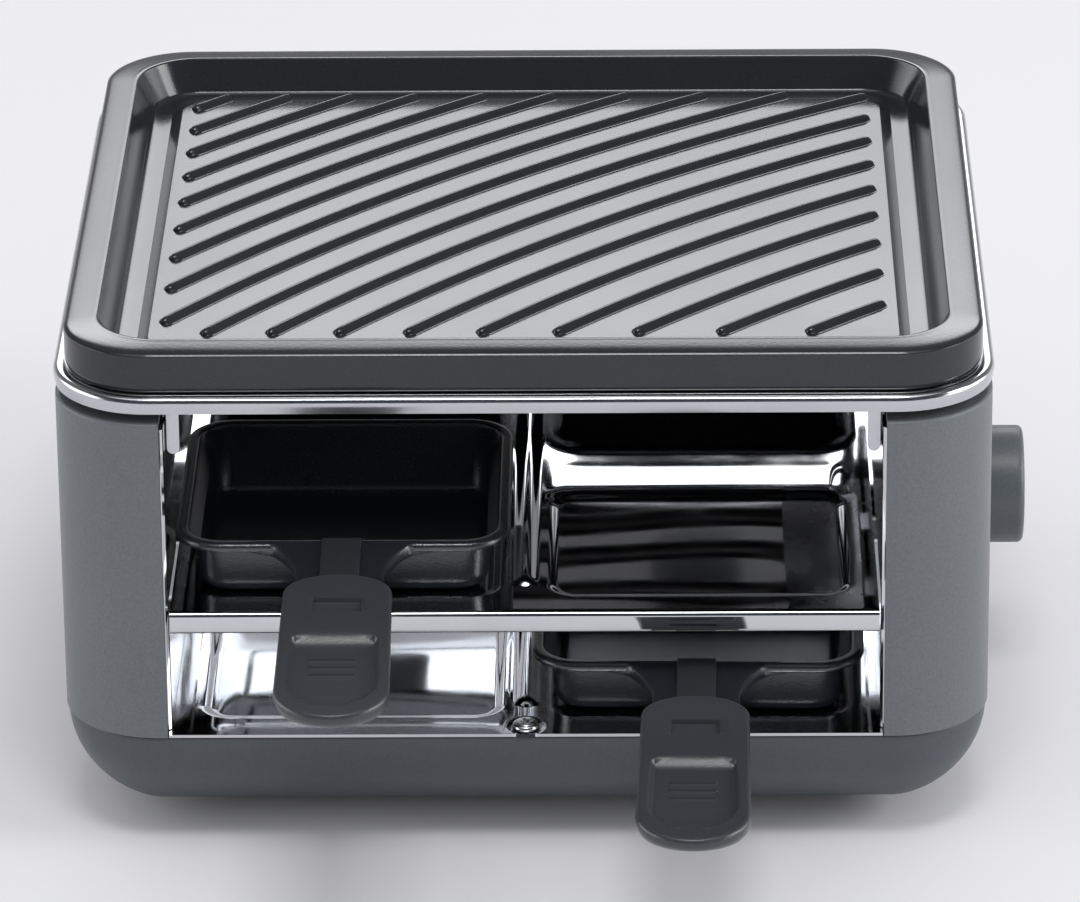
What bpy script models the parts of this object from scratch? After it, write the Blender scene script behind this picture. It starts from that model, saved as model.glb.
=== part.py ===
"""Raclette grill: a ribbed plate on a steel band over four pans, which stand on two polished shelves.

Metres, +Z up, the feet stand on Z = 0. The front faces -Y and the knob is on the +X side.
"""
import math

import bmesh
import bpy
from mathutils import Vector

# Whole body
BODY_WIDTH = 0.240
BODY_DEPTH = 0.2218
BODY_CORNER = 0.0256
COLUMN_WIDTH = 0.028
GAP = 0.0003
OVERLAP = 0.0005
WELD = 0.000001
CORNER_STEPS = 6

# Base and feet
FOOT_STAND = 0.003
FOOT_RADIUS = 0.008
FOOT_STEM_RADIUS = 0.003
FOOT_STEM_HEIGHT = 0.0024
FOOT_MARGIN = 0.0155
BASE_HEIGHT = 0.0298
BASE_INSET = 0.0008
BASE_ROUND_OUT = 0.0362
BASE_WALL = 0.0026
BASE_CORNER_LEAST = 0.004
BASE_ROUND_STEPS = 7
RIB_THICKNESS = 0.0024
BOSS_RADIUS = 0.0028
BOSS_HEIGHT = 0.0075
SCREW_MARGIN = 0.0053
SCREW_RADIUS = 0.0015
SCREW_LENGTH = 0.0052
SCREW_HEAD_RADIUS = 0.0035
SCREW_CROWN_RADIUS = 0.0025
SCREW_HEAD_HEIGHT = 0.0016

# Side housings
COLUMN_HEIGHT = 0.0882
HOUSING_INSET = 0.0003
HOUSING_WALL = 0.0024
HOUSING_EDGE = 0.0008

# Inner walls
WALL_LEAD = 0.0010
WALL_SHEET = 0.0007
WALL_BEND = 0.0012
WALL_FLANGE = 0.0035
WALL_TOP_SIDE_MARGIN = 0.009
WALL_TOP_END_MARGIN = 0.0129

# Top frame with its band
BAND_GAP = 0.0028
BAND_HEIGHT = 0.0045
BAND_SHEET = 0.0012
BAND_EDGE = 0.0004
FRAME_SHEET = 0.0010
FRAME_SIDE_LAND = 0.0320
FRAME_END_LAND = 0.0139
FRAME_HOLE_CORNER = 0.010
TAB_WIDTH = 0.0032
TAB_SHEET = 0.0009
TAB_LENGTH = 0.019

# Shelf and tray
SHEET = 0.0008
SHELF_BELOW_BAND = 0.0600
SHELF_SIDE_GAP = 0.0004
SHELF_SET_BACK = 0.0007
SHELF_BEND = 0.0010
SHELF_LIP = 0.0060
SHELF_HEM = 0.0009
TRAY_SET_BACK = 0.0005
RECESS_X_IN = 0.0055
RECESS_WALL_MARGIN = 0.0068
RECESS_Y_IN = 0.0362
RECESS_END_MARGIN = 0.0105
RECESS_CORNER = 0.008
RECESS_DEPTH = 0.0010
RECESS_SLOPE = 0.0030
BEAD_HALF_WIDTH = 0.0033
BEAD_CREST_HALF = 0.0010
BEAD_HEIGHT = 0.0009
BEAD_END_MARGIN = 0.0189
BEAD_END = 0.012
SHELF_TAB_Y = 0.060
SHELF_TAB_HALF = 0.006
HOOK_REACH = 0.0030
HOOK_SHEET = 0.0007

# Grill plate, insets counted inwards from its outer face
PLATE_INSET = 0.0030
PLATE_RIM_HEIGHT = 0.0114
PLATE_SIDE_HEIGHT = 0.0101
PLATE_CREST = 0.0080
PLATE_CREST_EDGE = 0.0010
PLATE_WALL_FOOT = 0.0136
PLATE_GUTTER_IN = 0.0188
PLATE_FIELD_INSET = 0.0210
PLATE_GUTTER_FLOOR = 0.0024
PLATE_FIELD_FLOOR = 0.0032
PLATE_CORNER_SHARE = 0.7
PLATE_CORNER_LEAST = 0.006
PLATE_HOLLOW_OUT = 0.0032
PLATE_HOLLOW_IN = 0.0085
PLATE_HOLLOW_HEIGHT = 0.0083
PLATE_SKIRT_HEIGHT = 0.0024
PLATE_SKIRT_WALL = 0.0025
PLATE_SKIRT_CLEARANCE = 0.0006

# Ribs of the plate lie on rings about one far centre
RIB_CENTRE_X = 0.4350
RIB_CENTRE_Y = 0.4457
RIB_RING = 0.6336
RIB_PITCH = 0.0134
RIB_SIDE_MARGIN = 0.0030
RIB_FAR_REACH = 0.0024
RIB_NEAR_MARGIN = 0.0074
RIB_WIDTH = 0.0048
RIB_HEIGHT = 0.0016
RIB_TIP = 0.0024
RIB_TIP_SHARE = 0.3
RIB_STEP = 0.032
RIB_SHORTEST = 0.009

# Pans, lengths along Y counted from the middle of the body
PAN_MIDDLE_ROOM = 0.0030
PAN_WALL_ROOM = 0.0020
UPPER_PAN_AWAY = 0.0006
LOWER_PAN_AWAY = 0.0011
LOWER_PAN_TURN = math.radians(-1.2)
PAN_SET_BACK = 0.0079
PAN_FAR_Y = 0.0225
PAN_CORNER = 0.012
PAN_CORNER_LEAST = 0.005
PAN_CORNER_SHARE = 0.8
PAN_HEIGHT = 0.0167
PAN_SHEET = 0.0012
PAN_RIM_LAND = 0.0026
PAN_RIM_ROLL = 0.0013
PAN_RIM_OUT = 0.0050
PAN_RIM_DROP = 0.0042
PAN_WALL_DRAFT = 0.0008
PAN_FAR_SLOPE = 0.0070
PAN_BASE_ROUND = 0.0042
PAN_BASE_STEPS = 3
TONGUE_ANGLE = math.radians(6.0)
TONGUE_START = 0.0006
TONGUE_FLARE_HALF = 0.0185
TONGUE_FLARE = 0.0170
TONGUE_FLARE_POWER = 2.2
TONGUE_HALF = 0.0112
TONGUE_LENGTH = 0.033
TONGUE_DROP = 0.0001
STRAP_HALF = 0.0050
STRAP_START = 0.0014
STRAP_LENGTH = 0.028
STRAP_SHEET = 0.0008

# Handles, lengths counted forward from the pan's rim and upwards from the tongue
HANDLE_START = 0.020
HANDLE_END = 0.089
HANDLE_TIP_RISE = 0.0085
HANDLE_START_HALF = 0.0138
HANDLE_END_HALF = 0.0144
HANDLE_START_BULGE = 0.009
HANDLE_END_BULGE = 0.0135
HANDLE_TOP = 0.0033
HANDLE_WIDEST = 0.0018
HANDLE_BOTTOM = 0.0034
HANDLE_EDGE = 0.0012
HANDLE_KEEL = 0.0045
HANDLE_ARC_STEPS = 7
SLOT_START = 0.0323
SLOT_END = 0.0386
SLOT_HALF = 0.0061
SLOT_DEPTH = 0.0012
THUMB_START = 0.0488
THUMB_END = 0.0825
THUMB_RAMP = 0.0042
THUMB_MARGIN = 0.0026
THUMB_DEPTH = 0.0020
THUMB_DRAFT = 0.0016
THUMB_START_BULGE = 0.003
THUMB_END_BULGE = 0.0105
GRIP_FIRST = 0.0583
GRIP_PITCH = 0.0035
GRIP_COUNT = 3
GRIP_HALF = 0.0058
GRIP_WIDTH = 0.0009
GRIP_HEIGHT = 0.0005

# Heating element and its two brackets
TUBE_RADIUS = 0.00315
TUBE_SIDES = 10
TUBE_BELOW_BAND = 0.0210
PASS_OUTER_Y = 0.0335
PASS_INNER_Y = 0.0116
PASS_OUTER_WAVE = 0.0090
PASS_INNER_WAVE = 0.0045
PASS_WAVE_LENGTH = 0.104
PASS_STEPS = 9
TURN_LEFT_MARGIN = 0.025
TURN_RIGHT_MARGIN = 0.029
TURN_STEPS = 6
TUBE_STRAIGHT_MARGIN = 0.006
TUBE_END_REACH = 0.008
BRACKET_SHEET = 0.0010
BRACKET_HALF_LENGTH = 0.050
BRACKET_REACH = 0.021
BRACKET_HEIGHT = 0.0125
BRACKET_TAB_Y = 0.022
BRACKET_TAB_HALF = 0.005

# Thermostat and knob, lengths along X counted from the housing's side face
KNOB_Z = 0.0544
KNOB_RADIUS = 0.0158
KNOB_REACH = 0.0126
KNOB_STAND_OFF = 0.0006
KNOB_EDGE = 0.0016
KNOB_WALL = 0.0024
KNOB_HUB_RADIUS = 0.0052
KNOB_HUB_BACK = 0.0035
KNOB_STEPS = 32
SHAFT_RADIUS = 0.0030
SHAFT_OUT = 0.0095
SHAFT_IN = 0.0150
SHAFT_RUNNING = 0.00015
BUSH_RADIUS = 0.0045
BUSH_OUT = 0.0027
NUT_RADIUS = 0.0066
NUT_HEIGHT = 0.0018
NUT_SIDES = 6
THERMOSTAT_ROOM = 0.0073
THERMOSTAT_HALF = 0.013

# Cable gland in the right housing, towards the rear
GLAND_REAR_MARGIN = 0.0389
GLAND_Z = 0.046
GLAND_BORE_RADIUS = 0.0034
GLAND_NECK_RADIUS = 0.0050
GLAND_FLANGE_RADIUS = 0.0072
GLAND_FLANGE = 0.0016
ROUND_STEPS = 16

# Heights and places that follow from the sizes above
BODY_SHIFT = -0.5 * KNOB_REACH
HALF_WIDTH = 0.5 * BODY_WIDTH
HALF_DEPTH = 0.5 * BODY_DEPTH
OPENING_HALF = HALF_WIDTH - COLUMN_WIDTH
WALL_FACE = OPENING_HALF - WALL_LEAD
SEAM_Z = FOOT_STAND + BASE_HEIGHT
COLUMN_TOP = SEAM_Z + COLUMN_HEIGHT
BAND_BOTTOM = COLUMN_TOP + BAND_GAP
BAND_TOP = BAND_BOTTOM + BAND_HEIGHT
TRAY_TOP = SEAM_Z + GAP + SHEET
SHELF_TOP = BAND_TOP - SHELF_BELOW_BAND
PLATE_Z = BAND_TOP + GAP
TUBE_Z = BAND_TOP - TUBE_BELOW_BAND
PAN_REST = GAP - RECESS_DEPTH
HOUSING_X = HALF_WIDTH - HOUSING_INSET
HOUSING_Y = HALF_DEPTH - HOUSING_INSET
FRAME_HOLE_X = HALF_WIDTH - FRAME_SIDE_LAND
FRAME_HOLE_Y = HALF_DEPTH - FRAME_END_LAND
FOOT_X = HALF_WIDTH - BASE_INSET - BASE_ROUND_OUT - FOOT_MARGIN
FOOT_Y = HALF_DEPTH - BASE_INSET - BASE_ROUND_OUT - FOOT_MARGIN
SCREW_Y = HALF_DEPTH - SCREW_MARGIN
GLAND_Y = HALF_DEPTH - GLAND_REAR_MARGIN
RECESS_X_OUT = WALL_FACE - RECESS_WALL_MARGIN
RECESS_Y_OUT = HALF_DEPTH - RECESS_END_MARGIN
BEAD_HALF_LENGTH = HALF_DEPTH - BEAD_END_MARGIN
RIB_FIELD_X = HALF_WIDTH - PLATE_INSET - PLATE_FIELD_INSET - RIB_SIDE_MARGIN
RIB_FIELD_FAR = HALF_DEPTH - PLATE_INSET - PLATE_FIELD_INSET + RIB_FAR_REACH
RIB_FIELD_NEAR = HALF_DEPTH - PLATE_INSET - PLATE_FIELD_INSET - RIB_NEAR_MARGIN
PAN_WIDTH = WALL_FACE - PAN_MIDDLE_ROOM - PAN_WALL_ROOM
PAN_X = PAN_MIDDLE_ROOM + 0.5 * PAN_WIDTH
PAN_FRONT_Y = HALF_DEPTH - PAN_SET_BACK
TUBE_STRAIGHT_X = WALL_FACE - TUBE_STRAIGHT_MARGIN


def material(name, colour, roughness, metallic):
    made = bpy.data.materials.new(name)
    made.use_nodes = True
    shader = made.node_tree.nodes["Principled BSDF"]
    shader.inputs["Base Color"].default_value = (*colour, 1.0)
    shader.inputs["Roughness"].default_value = roughness
    shader.inputs["Metallic"].default_value = metallic
    return made


def solid(name, shape, look=None, origin=(0.0, 0.0, 0.0)):
    """A closed mesh object from points in body coordinates, its origin at the given point."""
    points, faces = shape
    start = Vector(origin)
    mesh = bpy.data.meshes.new(name)
    mesh.from_pydata([Vector(point) - start for point in points], [], faces)
    work = bmesh.new()
    work.from_mesh(mesh)
    bmesh.ops.remove_doubles(work, verts=work.verts, dist=WELD)
    bmesh.ops.recalc_face_normals(work, faces=work.faces)
    for face in work.faces:
        face.smooth = True
    for edge in work.edges:
        edge.smooth = edge.calc_face_angle(0.0) < math.radians(35.0)
    work.to_mesh(mesh)
    work.free()
    made = bpy.data.objects.new(name, mesh)
    made.location = start + Vector((BODY_SHIFT, 0.0, 0.0))
    bpy.context.scene.collection.objects.link(made)
    if look is not None:
        mesh.materials.append(look)
    return made


def combine(target, other, operation):
    """Joins or cuts the target with a hidden shape that stays editable."""
    other.hide_render = True
    other.display_type = "WIRE"
    step = target.modifiers.new(other.name, "BOOLEAN")
    step.operation = operation
    step.solver = "EXACT"
    step.object = other


def join(target, name, shape):
    combine(target, solid(name, shape), "UNION")


def cut(target, name, shape):
    combine(target, solid(name, shape), "DIFFERENCE")


def rounded(half_x, half_y, radius, z, centre_x=0.0, centre_y=0.0):
    """One ring: the points of a rounded rectangle at one height."""
    ring = []
    for quarter, (sign_x, sign_y) in enumerate(((1, 1), (-1, 1), (-1, -1), (1, -1))):
        for step in range(CORNER_STEPS + 1):
            angle = 0.5 * math.pi * (quarter + step / CORNER_STEPS)
            x = centre_x + sign_x * (half_x - radius) + radius * math.cos(angle)
            y = centre_y + sign_y * (half_y - radius) + radius * math.sin(angle)
            ring.append((x, y, z))
    return ring


def skin(rings):
    """A closed solid through rings of the same number of points, capped at both ends."""
    count = len(rings[0])
    points = [point for ring in rings for point in ring]
    faces = [tuple(reversed(range(count)))]
    for level in range(len(rings) - 1):
        low = level * count
        for index in range(count):
            after = (index + 1) % count
            faces.append((low + index, low + after, low + count + after, low + count + index))
    last = (len(rings) - 1) * count
    faces.append(tuple(range(last, last + count)))
    return points, faces


def loop_skin(rings):
    """A closed solid whose last ring joins its first one, such as a frame around a hole."""
    count = len(rings[0])
    points = [point for ring in rings for point in ring]
    faces = []
    for level in range(len(rings)):
        low = level * count
        high = ((level + 1) % len(rings)) * count
        for index in range(count):
            after = (index + 1) % count
            faces.append((low + index, low + after, high + after, high + index))
    return points, faces


def box(low, high):
    (x0, y0, z0), (x1, y1, z1) = low, high
    return skin([[(x0, y0, z), (x1, y0, z), (x1, y1, z), (x0, y1, z)] for z in (z0, z1)])


def turned(profile, axis, centre, steps=ROUND_STEPS):
    """A solid of revolution: (radius, distance along the axis) pairs, the end ones off the axis."""
    rings = []
    for radius, along in profile:
        ring = []
        for step in range(steps):
            angle = 2.0 * math.pi * (step + 0.5) / steps
            side, rise = radius * math.cos(angle), radius * math.sin(angle)
            if axis == "x":
                offset = (along, side, rise)
            elif axis == "y":
                offset = (rise, along, side)
            else:
                offset = (side, rise, along)
            ring.append(tuple(c + o for c, o in zip(centre, offset)))
        rings.append(ring)
    return rings


def ribbon(path, thickness):
    """The outline of a bent strip: the path's points set off to both sides by half the thickness."""
    left, right = [], []
    for index, (a, b) in enumerate(path):
        before = Vector(path[max(index - 1, 0)])
        after = Vector(path[min(index + 1, len(path) - 1)])
        along = (after - before).normalized()
        side = Vector((-along.y, along.x)) * 0.5 * thickness
        left.append((a + side.x, b + side.y))
        right.append((a - side.x, b - side.y))
    return left + right[::-1]


def tub_point(turn, depth):
    """Inset and height of the tub's side: depth 0 is its outer face, 1 its inner face."""
    wall = depth * BASE_WALL
    inset = BASE_INSET + wall + BASE_ROUND_OUT * (1.0 - math.cos(turn))
    return inset, FOOT_STAND + wall + (BASE_HEIGHT - wall) * (1.0 - math.sin(turn))


def base_housing(look):
    """Moulded tub: a quarter-oval side all round, a flat floor, and an open top."""
    def level(turn, depth):
        inset, z = tub_point(turn, depth)
        radius = max(BODY_CORNER - inset, BASE_CORNER_LEAST)
        return rounded(HALF_WIDTH - inset, HALF_DEPTH - inset, radius, z)

    turns = [0.5 * math.pi * step / BASE_ROUND_STEPS for step in range(BASE_ROUND_STEPS + 1)]
    rings = [level(turn, 0.0) for turn in reversed(turns)] + [level(turn, 1.0) for turn in turns]
    base = solid("base_housing", skin(rings), look)
    floor = FOOT_STAND + BASE_WALL
    low_points = [tub_point(turn, 0.5) for turn in turns[1:]]
    outline = [(inset - HALF_DEPTH, z) for inset, z in [(low_points[0][0], SEAM_Z - GAP)] + low_points]
    outline += [(-y, z) for y, z in reversed(outline)]
    half = 0.5 * RIB_THICKNESS
    for side in (-1, 1):
        middle = side * (WALL_FACE - RIB_THICKNESS)
        rings = [[(middle + x, y, z) for y, z in outline] for x in (-half, half)]
        join(base, "base_rib", skin(rings))
        post = [(BOSS_RADIUS, SEAM_Z - BOSS_HEIGHT), (BOSS_RADIUS, SEAM_Z - 0.5 * GAP)]
        join(base, "base_boss", skin(turned(post, "z", (0.0, side * SCREW_Y, 0.0))))
    for side in (-1, 1):
        hole = [(SCREW_RADIUS + GAP, SEAM_Z - SCREW_LENGTH - GAP), (SCREW_RADIUS + GAP, SEAM_Z + OVERLAP)]
        cut(base, "base_screw_hole", skin(turned(hole, "z", (0.0, side * SCREW_Y, 0.0))))
        for across in (-1, 1):
            bore = FOOT_STEM_RADIUS + GAP
            stem = [(bore, FOOT_STAND - OVERLAP), (bore, floor + OVERLAP)]
            centre = (across * FOOT_X, side * FOOT_Y, 0.0)
            cut(base, "base_foot_hole", skin(turned(stem, "z", centre)))


def foot(name, x, y, look):
    top = FOOT_STAND - GAP
    chamfer = 0.2 * FOOT_STAND
    profile = [(FOOT_RADIUS - chamfer, 0.0), (FOOT_RADIUS, chamfer), (FOOT_RADIUS, top),
               (FOOT_STEM_RADIUS, top), (FOOT_STEM_RADIUS, top + FOOT_STEM_HEIGHT)]
    solid(name, skin(turned(profile, "z", (x, y, 0.0))), look)


def housing_outline(side, inset, inner_x, z):
    """Half of the body's plan: straight across the inner side, rounded at both outer corners."""
    radius = BODY_CORNER - HOUSING_INSET - inset
    far_x, far_y = HOUSING_X - inset - radius, HOUSING_Y - inset - radius
    cut_off = math.asin(max(0.0, (inner_x - far_x) / radius))
    half = []
    for step in range(CORNER_STEPS + 1):
        angle = cut_off + (0.5 * math.pi - cut_off) * step / CORNER_STEPS
        half.append((far_x + radius * math.sin(angle), far_y + radius * math.cos(angle)))
    points = [(inner_x, -half[0][1])] + [(x, -y) for x, y in half] + half[::-1] + [(inner_x, half[0][1])]
    ring = [(side * x, y, z) for x, y in points]
    return ring if side > 0 else ring[::-1]


def side_housing(name, side, look):
    """Moulded shell with a rounded front and rear column, open below and towards the pans."""
    bottom = SEAM_Z + GAP
    rings = [housing_outline(side, 0.0, OPENING_HALF, bottom),
             housing_outline(side, 0.0, OPENING_HALF, COLUMN_TOP - HOUSING_EDGE),
             housing_outline(side, HOUSING_EDGE, OPENING_HALF, COLUMN_TOP)]
    housing = solid(name, skin(rings), look)
    inner_x = OPENING_HALF - HOUSING_WALL
    hollow = [housing_outline(side, HOUSING_WALL, inner_x, bottom - HOUSING_WALL),
              housing_outline(side, HOUSING_WALL, inner_x, COLUMN_TOP - HOUSING_WALL)]
    cut(housing, name + "_hollow", skin(hollow))
    if side > 0:
        start, end = HOUSING_X - 2.0 * HOUSING_WALL, HOUSING_X + OVERLAP
        hole = [(BUSH_RADIUS + GAP, start), (BUSH_RADIUS + GAP, end)]
        cut(housing, "bush_hole", skin(turned(hole, "x", (0.0, 0.0, KNOB_Z))))
        hole = [(GLAND_NECK_RADIUS + GAP, start), (GLAND_NECK_RADIUS + GAP, end)]
        cut(housing, "gland_hole", skin(turned(hole, "x", (0.0, GLAND_Y, GLAND_Z))))


def hook_slot(y, z, half, side):
    """The slot in an inner wall that a shelf's or bracket's hook passes through."""
    x0, x1 = side * (WALL_FACE - OVERLAP), side * (WALL_FACE + WALL_SHEET + OVERLAP)
    room = 0.5 * HOOK_SHEET + GAP
    return box((min(x0, x1), y - half - GAP, z - room), (max(x0, x1), y + half + GAP, z + room))


def hook(y, z, half, side, start):
    x0, x1 = side * start, side * (WALL_FACE + HOOK_REACH)
    return box((min(x0, x1), y - half, z - 0.5 * HOOK_SHEET), (max(x0, x1), y + half, z + 0.5 * HOOK_SHEET))


def bracket_z():
    """The middle of the brackets' horizontal sheet, on which the tube's bends rest."""
    return TUBE_Z - TUBE_RADIUS - GAP - 0.5 * BRACKET_SHEET


def outer_pass(x):
    x = min(x, TUBE_STRAIGHT_X)
    return PASS_OUTER_Y + PASS_OUTER_WAVE * math.sin(math.pi * x / PASS_WAVE_LENGTH) ** 2


def inner_pass(x):
    return PASS_INNER_Y + PASS_INNER_WAVE * math.sin(math.pi * x / PASS_WAVE_LENGTH) ** 2


def inner_wall(name, side, look):
    """Bent sheet that lines the opening, its flanges tucked in behind the columns."""
    middle = WALL_FACE + 0.5 * WALL_SHEET
    front = HOUSING_Y - HOUSING_WALL - GAP - 0.5 * WALL_SHEET
    bend = WALL_BEND
    half_path = [(middle + WALL_FLANGE, front), (middle + bend, front)]
    half_path += [(middle + bend - bend * math.sin(turn), front - bend + bend * math.cos(turn))
                  for turn in (math.pi / 6.0, math.pi / 3.0, 0.5 * math.pi)]
    path = [(side * x, -y) for x, y in half_path] + [(side * x, y) for x, y in reversed(half_path)]
    outline = ribbon(path, WALL_SHEET)
    low, high = TRAY_TOP + GAP, COLUMN_TOP - HOUSING_WALL - GAP
    wall = solid(name, skin([[(x, y, z) for x, y in outline] for z in (low, high)]), look)
    top = BAND_TOP - FRAME_SHEET - GAP
    web = sorted((side * WALL_FACE, side * (WALL_FACE + WALL_SHEET)))
    deep = HALF_DEPTH - WALL_TOP_END_MARGIN
    join(wall, name + "_web", box((web[0], -deep, high - OVERLAP), (web[1], deep, top)))
    reach = sorted((side * (WALL_FACE + 0.5 * WALL_SHEET), side * (HALF_WIDTH - WALL_TOP_SIDE_MARGIN)))
    join(wall, name + "_flange", box((reach[0], -deep + OVERLAP, top - WALL_SHEET),
                                     (reach[1], deep - OVERLAP, top - 0.1 * WALL_SHEET)))
    for end in (-1, 1):
        shelf_slot = hook_slot(end * SHELF_TAB_Y, SHELF_TOP - 0.5 * SHEET, SHELF_TAB_HALF, side)
        cut(wall, name + "_shelf_slot", shelf_slot)
        bracket_slot = hook_slot(end * BRACKET_TAB_Y, bracket_z(), BRACKET_TAB_HALF, side)
        cut(wall, name + "_bracket_slot", bracket_slot)
        if side > 0:
            radius = TUBE_RADIUS + GAP
            hole = [(radius, WALL_FACE - OVERLAP), (radius, WALL_FACE + WALL_SHEET + OVERLAP)]
            centre = (0.0, end * outer_pass(WALL_FACE), TUBE_Z)
            cut(wall, "tube_hole", skin(turned(hole, "x", centre)))


def top_frame(look):
    """Steel ring under the plate: a vertical band outside, a flat edge inside, and four hanging tabs."""
    def band(inset, z):
        return rounded(HALF_WIDTH - inset, HALF_DEPTH - inset, BODY_CORNER - inset, z)

    under = BAND_TOP - FRAME_SHEET
    rings = [band(BAND_SHEET, BAND_BOTTOM), band(0.0, BAND_BOTTOM), band(0.0, BAND_TOP - BAND_EDGE),
             band(BAND_EDGE, BAND_TOP), rounded(FRAME_HOLE_X, FRAME_HOLE_Y, FRAME_HOLE_CORNER, BAND_TOP),
             rounded(FRAME_HOLE_X, FRAME_HOLE_Y, FRAME_HOLE_CORNER, under), band(BAND_SHEET, under)]
    frame = solid("top_frame", loop_skin(rings), look)
    x = WALL_FACE - GAP - 0.5 * TAB_WIDTH
    half = 0.5 * TAB_WIDTH
    tip = BAND_TOP - TAB_LENGTH
    outline = [(-half, BAND_TOP - 0.4 * FRAME_SHEET), (-half, tip), (-0.7 * half, tip - 0.7 * half),
               (0.0, tip - half), (0.7 * half, tip - 0.7 * half), (half, tip),
               (half, BAND_TOP - 0.4 * FRAME_SHEET)]
    for side in (-1, 1):
        for end in (-1, 1):
            y = end * (FRAME_HOLE_Y + TAB_SHEET)
            thick = 0.5 * TAB_SHEET
            rings = [[(side * x + a, y + b, z) for a, z in outline] for b in (-thick, thick)]
            join(frame, "frame_tab", skin(rings))


def smooth_step(share):
    share = min(max(share, 0.0), 1.0)
    return share * share * (3.0 - 2.0 * share)


def recess_drop(x, y):
    """Depth of the four shallow recesses at one place: a soft slope inside a rounded rectangle."""
    half_x = 0.5 * (RECESS_X_OUT - RECESS_X_IN)
    half_y = 0.5 * (RECESS_Y_OUT - RECESS_Y_IN)
    across = abs(abs(x) - RECESS_X_IN - half_x) - (half_x - RECESS_CORNER)
    along = abs(abs(y) - RECESS_Y_IN - half_y) - (half_y - RECESS_CORNER)
    outside = math.hypot(max(across, 0.0), max(along, 0.0)) + min(max(across, along), 0.0) - RECESS_CORNER
    return RECESS_DEPTH * smooth_step(-outside / RECESS_SLOPE)


def bead_rise(x, y):
    """Height of the stiffening bead along the middle."""
    across = (BEAD_HALF_WIDTH - abs(x)) / (BEAD_HALF_WIDTH - BEAD_CREST_HALF)
    along = (BEAD_HALF_LENGTH - abs(y)) / BEAD_END
    return BEAD_HEIGHT * smooth_step(across) * smooth_step(along)


def mirrored(values):
    return [-value for value in reversed(values)] + [0.0] + list(values)


def sheet_lines(half_width):
    """Where the pressed sheets' mesh lines lie across X: close together on bead and slopes."""
    half = 0.5 * RECESS_SLOPE
    return mirrored([BEAD_CREST_HALF, BEAD_HALF_WIDTH,
                     RECESS_X_IN, RECESS_X_IN + half, RECESS_X_IN + RECESS_SLOPE,
                     RECESS_X_IN + RECESS_CORNER, RECESS_X_OUT - RECESS_CORNER,
                     RECESS_X_OUT - RECESS_SLOPE, RECESS_X_OUT - half, RECESS_X_OUT, half_width])


def sheet_rows():
    """The same along Y, up to the recesses' outer edge."""
    half = 0.5 * RECESS_SLOPE
    return [RECESS_Y_IN, RECESS_Y_IN + half, RECESS_Y_IN + RECESS_SLOPE,
            RECESS_Y_IN + RECESS_CORNER, RECESS_Y_OUT - RECESS_CORNER,
            RECESS_Y_OUT - RECESS_SLOPE, RECESS_Y_OUT - half, RECESS_Y_OUT]


def pressed_sheet(columns, profile, top):
    """A sheet of even thickness about a middle surface, closed all round its edge."""
    middle = []
    for y, drop in profile:
        row = []
        for x in columns:
            rise = bead_rise(x, y) - recess_drop(x, y)
            row.append(Vector((x, y, top - 0.5 * SHEET - drop + rise)))
        middle.append(row)
    rows, count = len(middle), len(columns)
    points = []
    for sign in (1.0, -1.0):
        for i in range(rows):
            for j in range(count):
                along = middle[min(i + 1, rows - 1)][j] - middle[max(i - 1, 0)][j]
                across = middle[i][min(j + 1, count - 1)] - middle[i][max(j - 1, 0)]
                points.append(middle[i][j] + across.cross(along).normalized() * sign * 0.5 * SHEET)
    lower = rows * count
    faces = []
    for i in range(rows - 1):
        for j in range(count - 1):
            a, b = i * count + j, i * count + j + 1
            c, d = b + count, a + count
            faces.append((a, b, c, d))
            faces.append((lower + a, lower + d, lower + c, lower + b))
    edge = list(range(count)) + [i * count + count - 1 for i in range(1, rows)]
    edge += [(rows - 1) * count + j for j in range(count - 2, -1, -1)]
    edge += [i * count for i in range(rows - 2, 0, -1)]
    for a, b in zip(edge, edge[1:] + edge[:1]):
        faces.append((a, lower + a, lower + b, b))
    return points, faces


def middle_shelf(look):
    """Polished pressed shelf: four recesses, a bead, a rolled lip front and rear, hooks in the walls."""
    edge = HALF_DEPTH - SHELF_SET_BACK - 0.5 * SHEET
    half_width = WALL_FACE - SHELF_SIDE_GAP
    flat = [(y, 0.0) for y in sheet_rows()] + [(edge - SHELF_BEND, 0.0)]
    lip = [(edge - SHELF_BEND + SHELF_BEND * math.sin(turn), SHELF_BEND - SHELF_BEND * math.cos(turn))
           for turn in (math.pi / 6.0, math.pi / 3.0, 0.5 * math.pi)]
    foot_z = SHELF_LIP - SHEET
    lip += [(edge, foot_z - SHELF_HEM)]
    lip += [(edge - SHELF_HEM + SHELF_HEM * math.cos(turn), foot_z - SHELF_HEM + SHELF_HEM * math.sin(turn))
            for turn in (math.pi / 4.0, 0.5 * math.pi)]
    lip += [(edge - 2.0 * SHELF_HEM, foot_z)]
    half = flat + lip
    profile = [(-y, drop) for y, drop in reversed(half)] + [(0.0, 0.0)] + half
    shelf = solid("middle_shelf", pressed_sheet(sheet_lines(half_width), profile, SHELF_TOP), look)
    for side in (-1, 1):
        for end in (-1, 1):
            start = half_width - HOOK_REACH
            join(shelf, "shelf_hook",
                 hook(end * SHELF_TAB_Y, SHELF_TOP - 0.5 * SHEET, SHELF_TAB_HALF, side, start))


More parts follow.
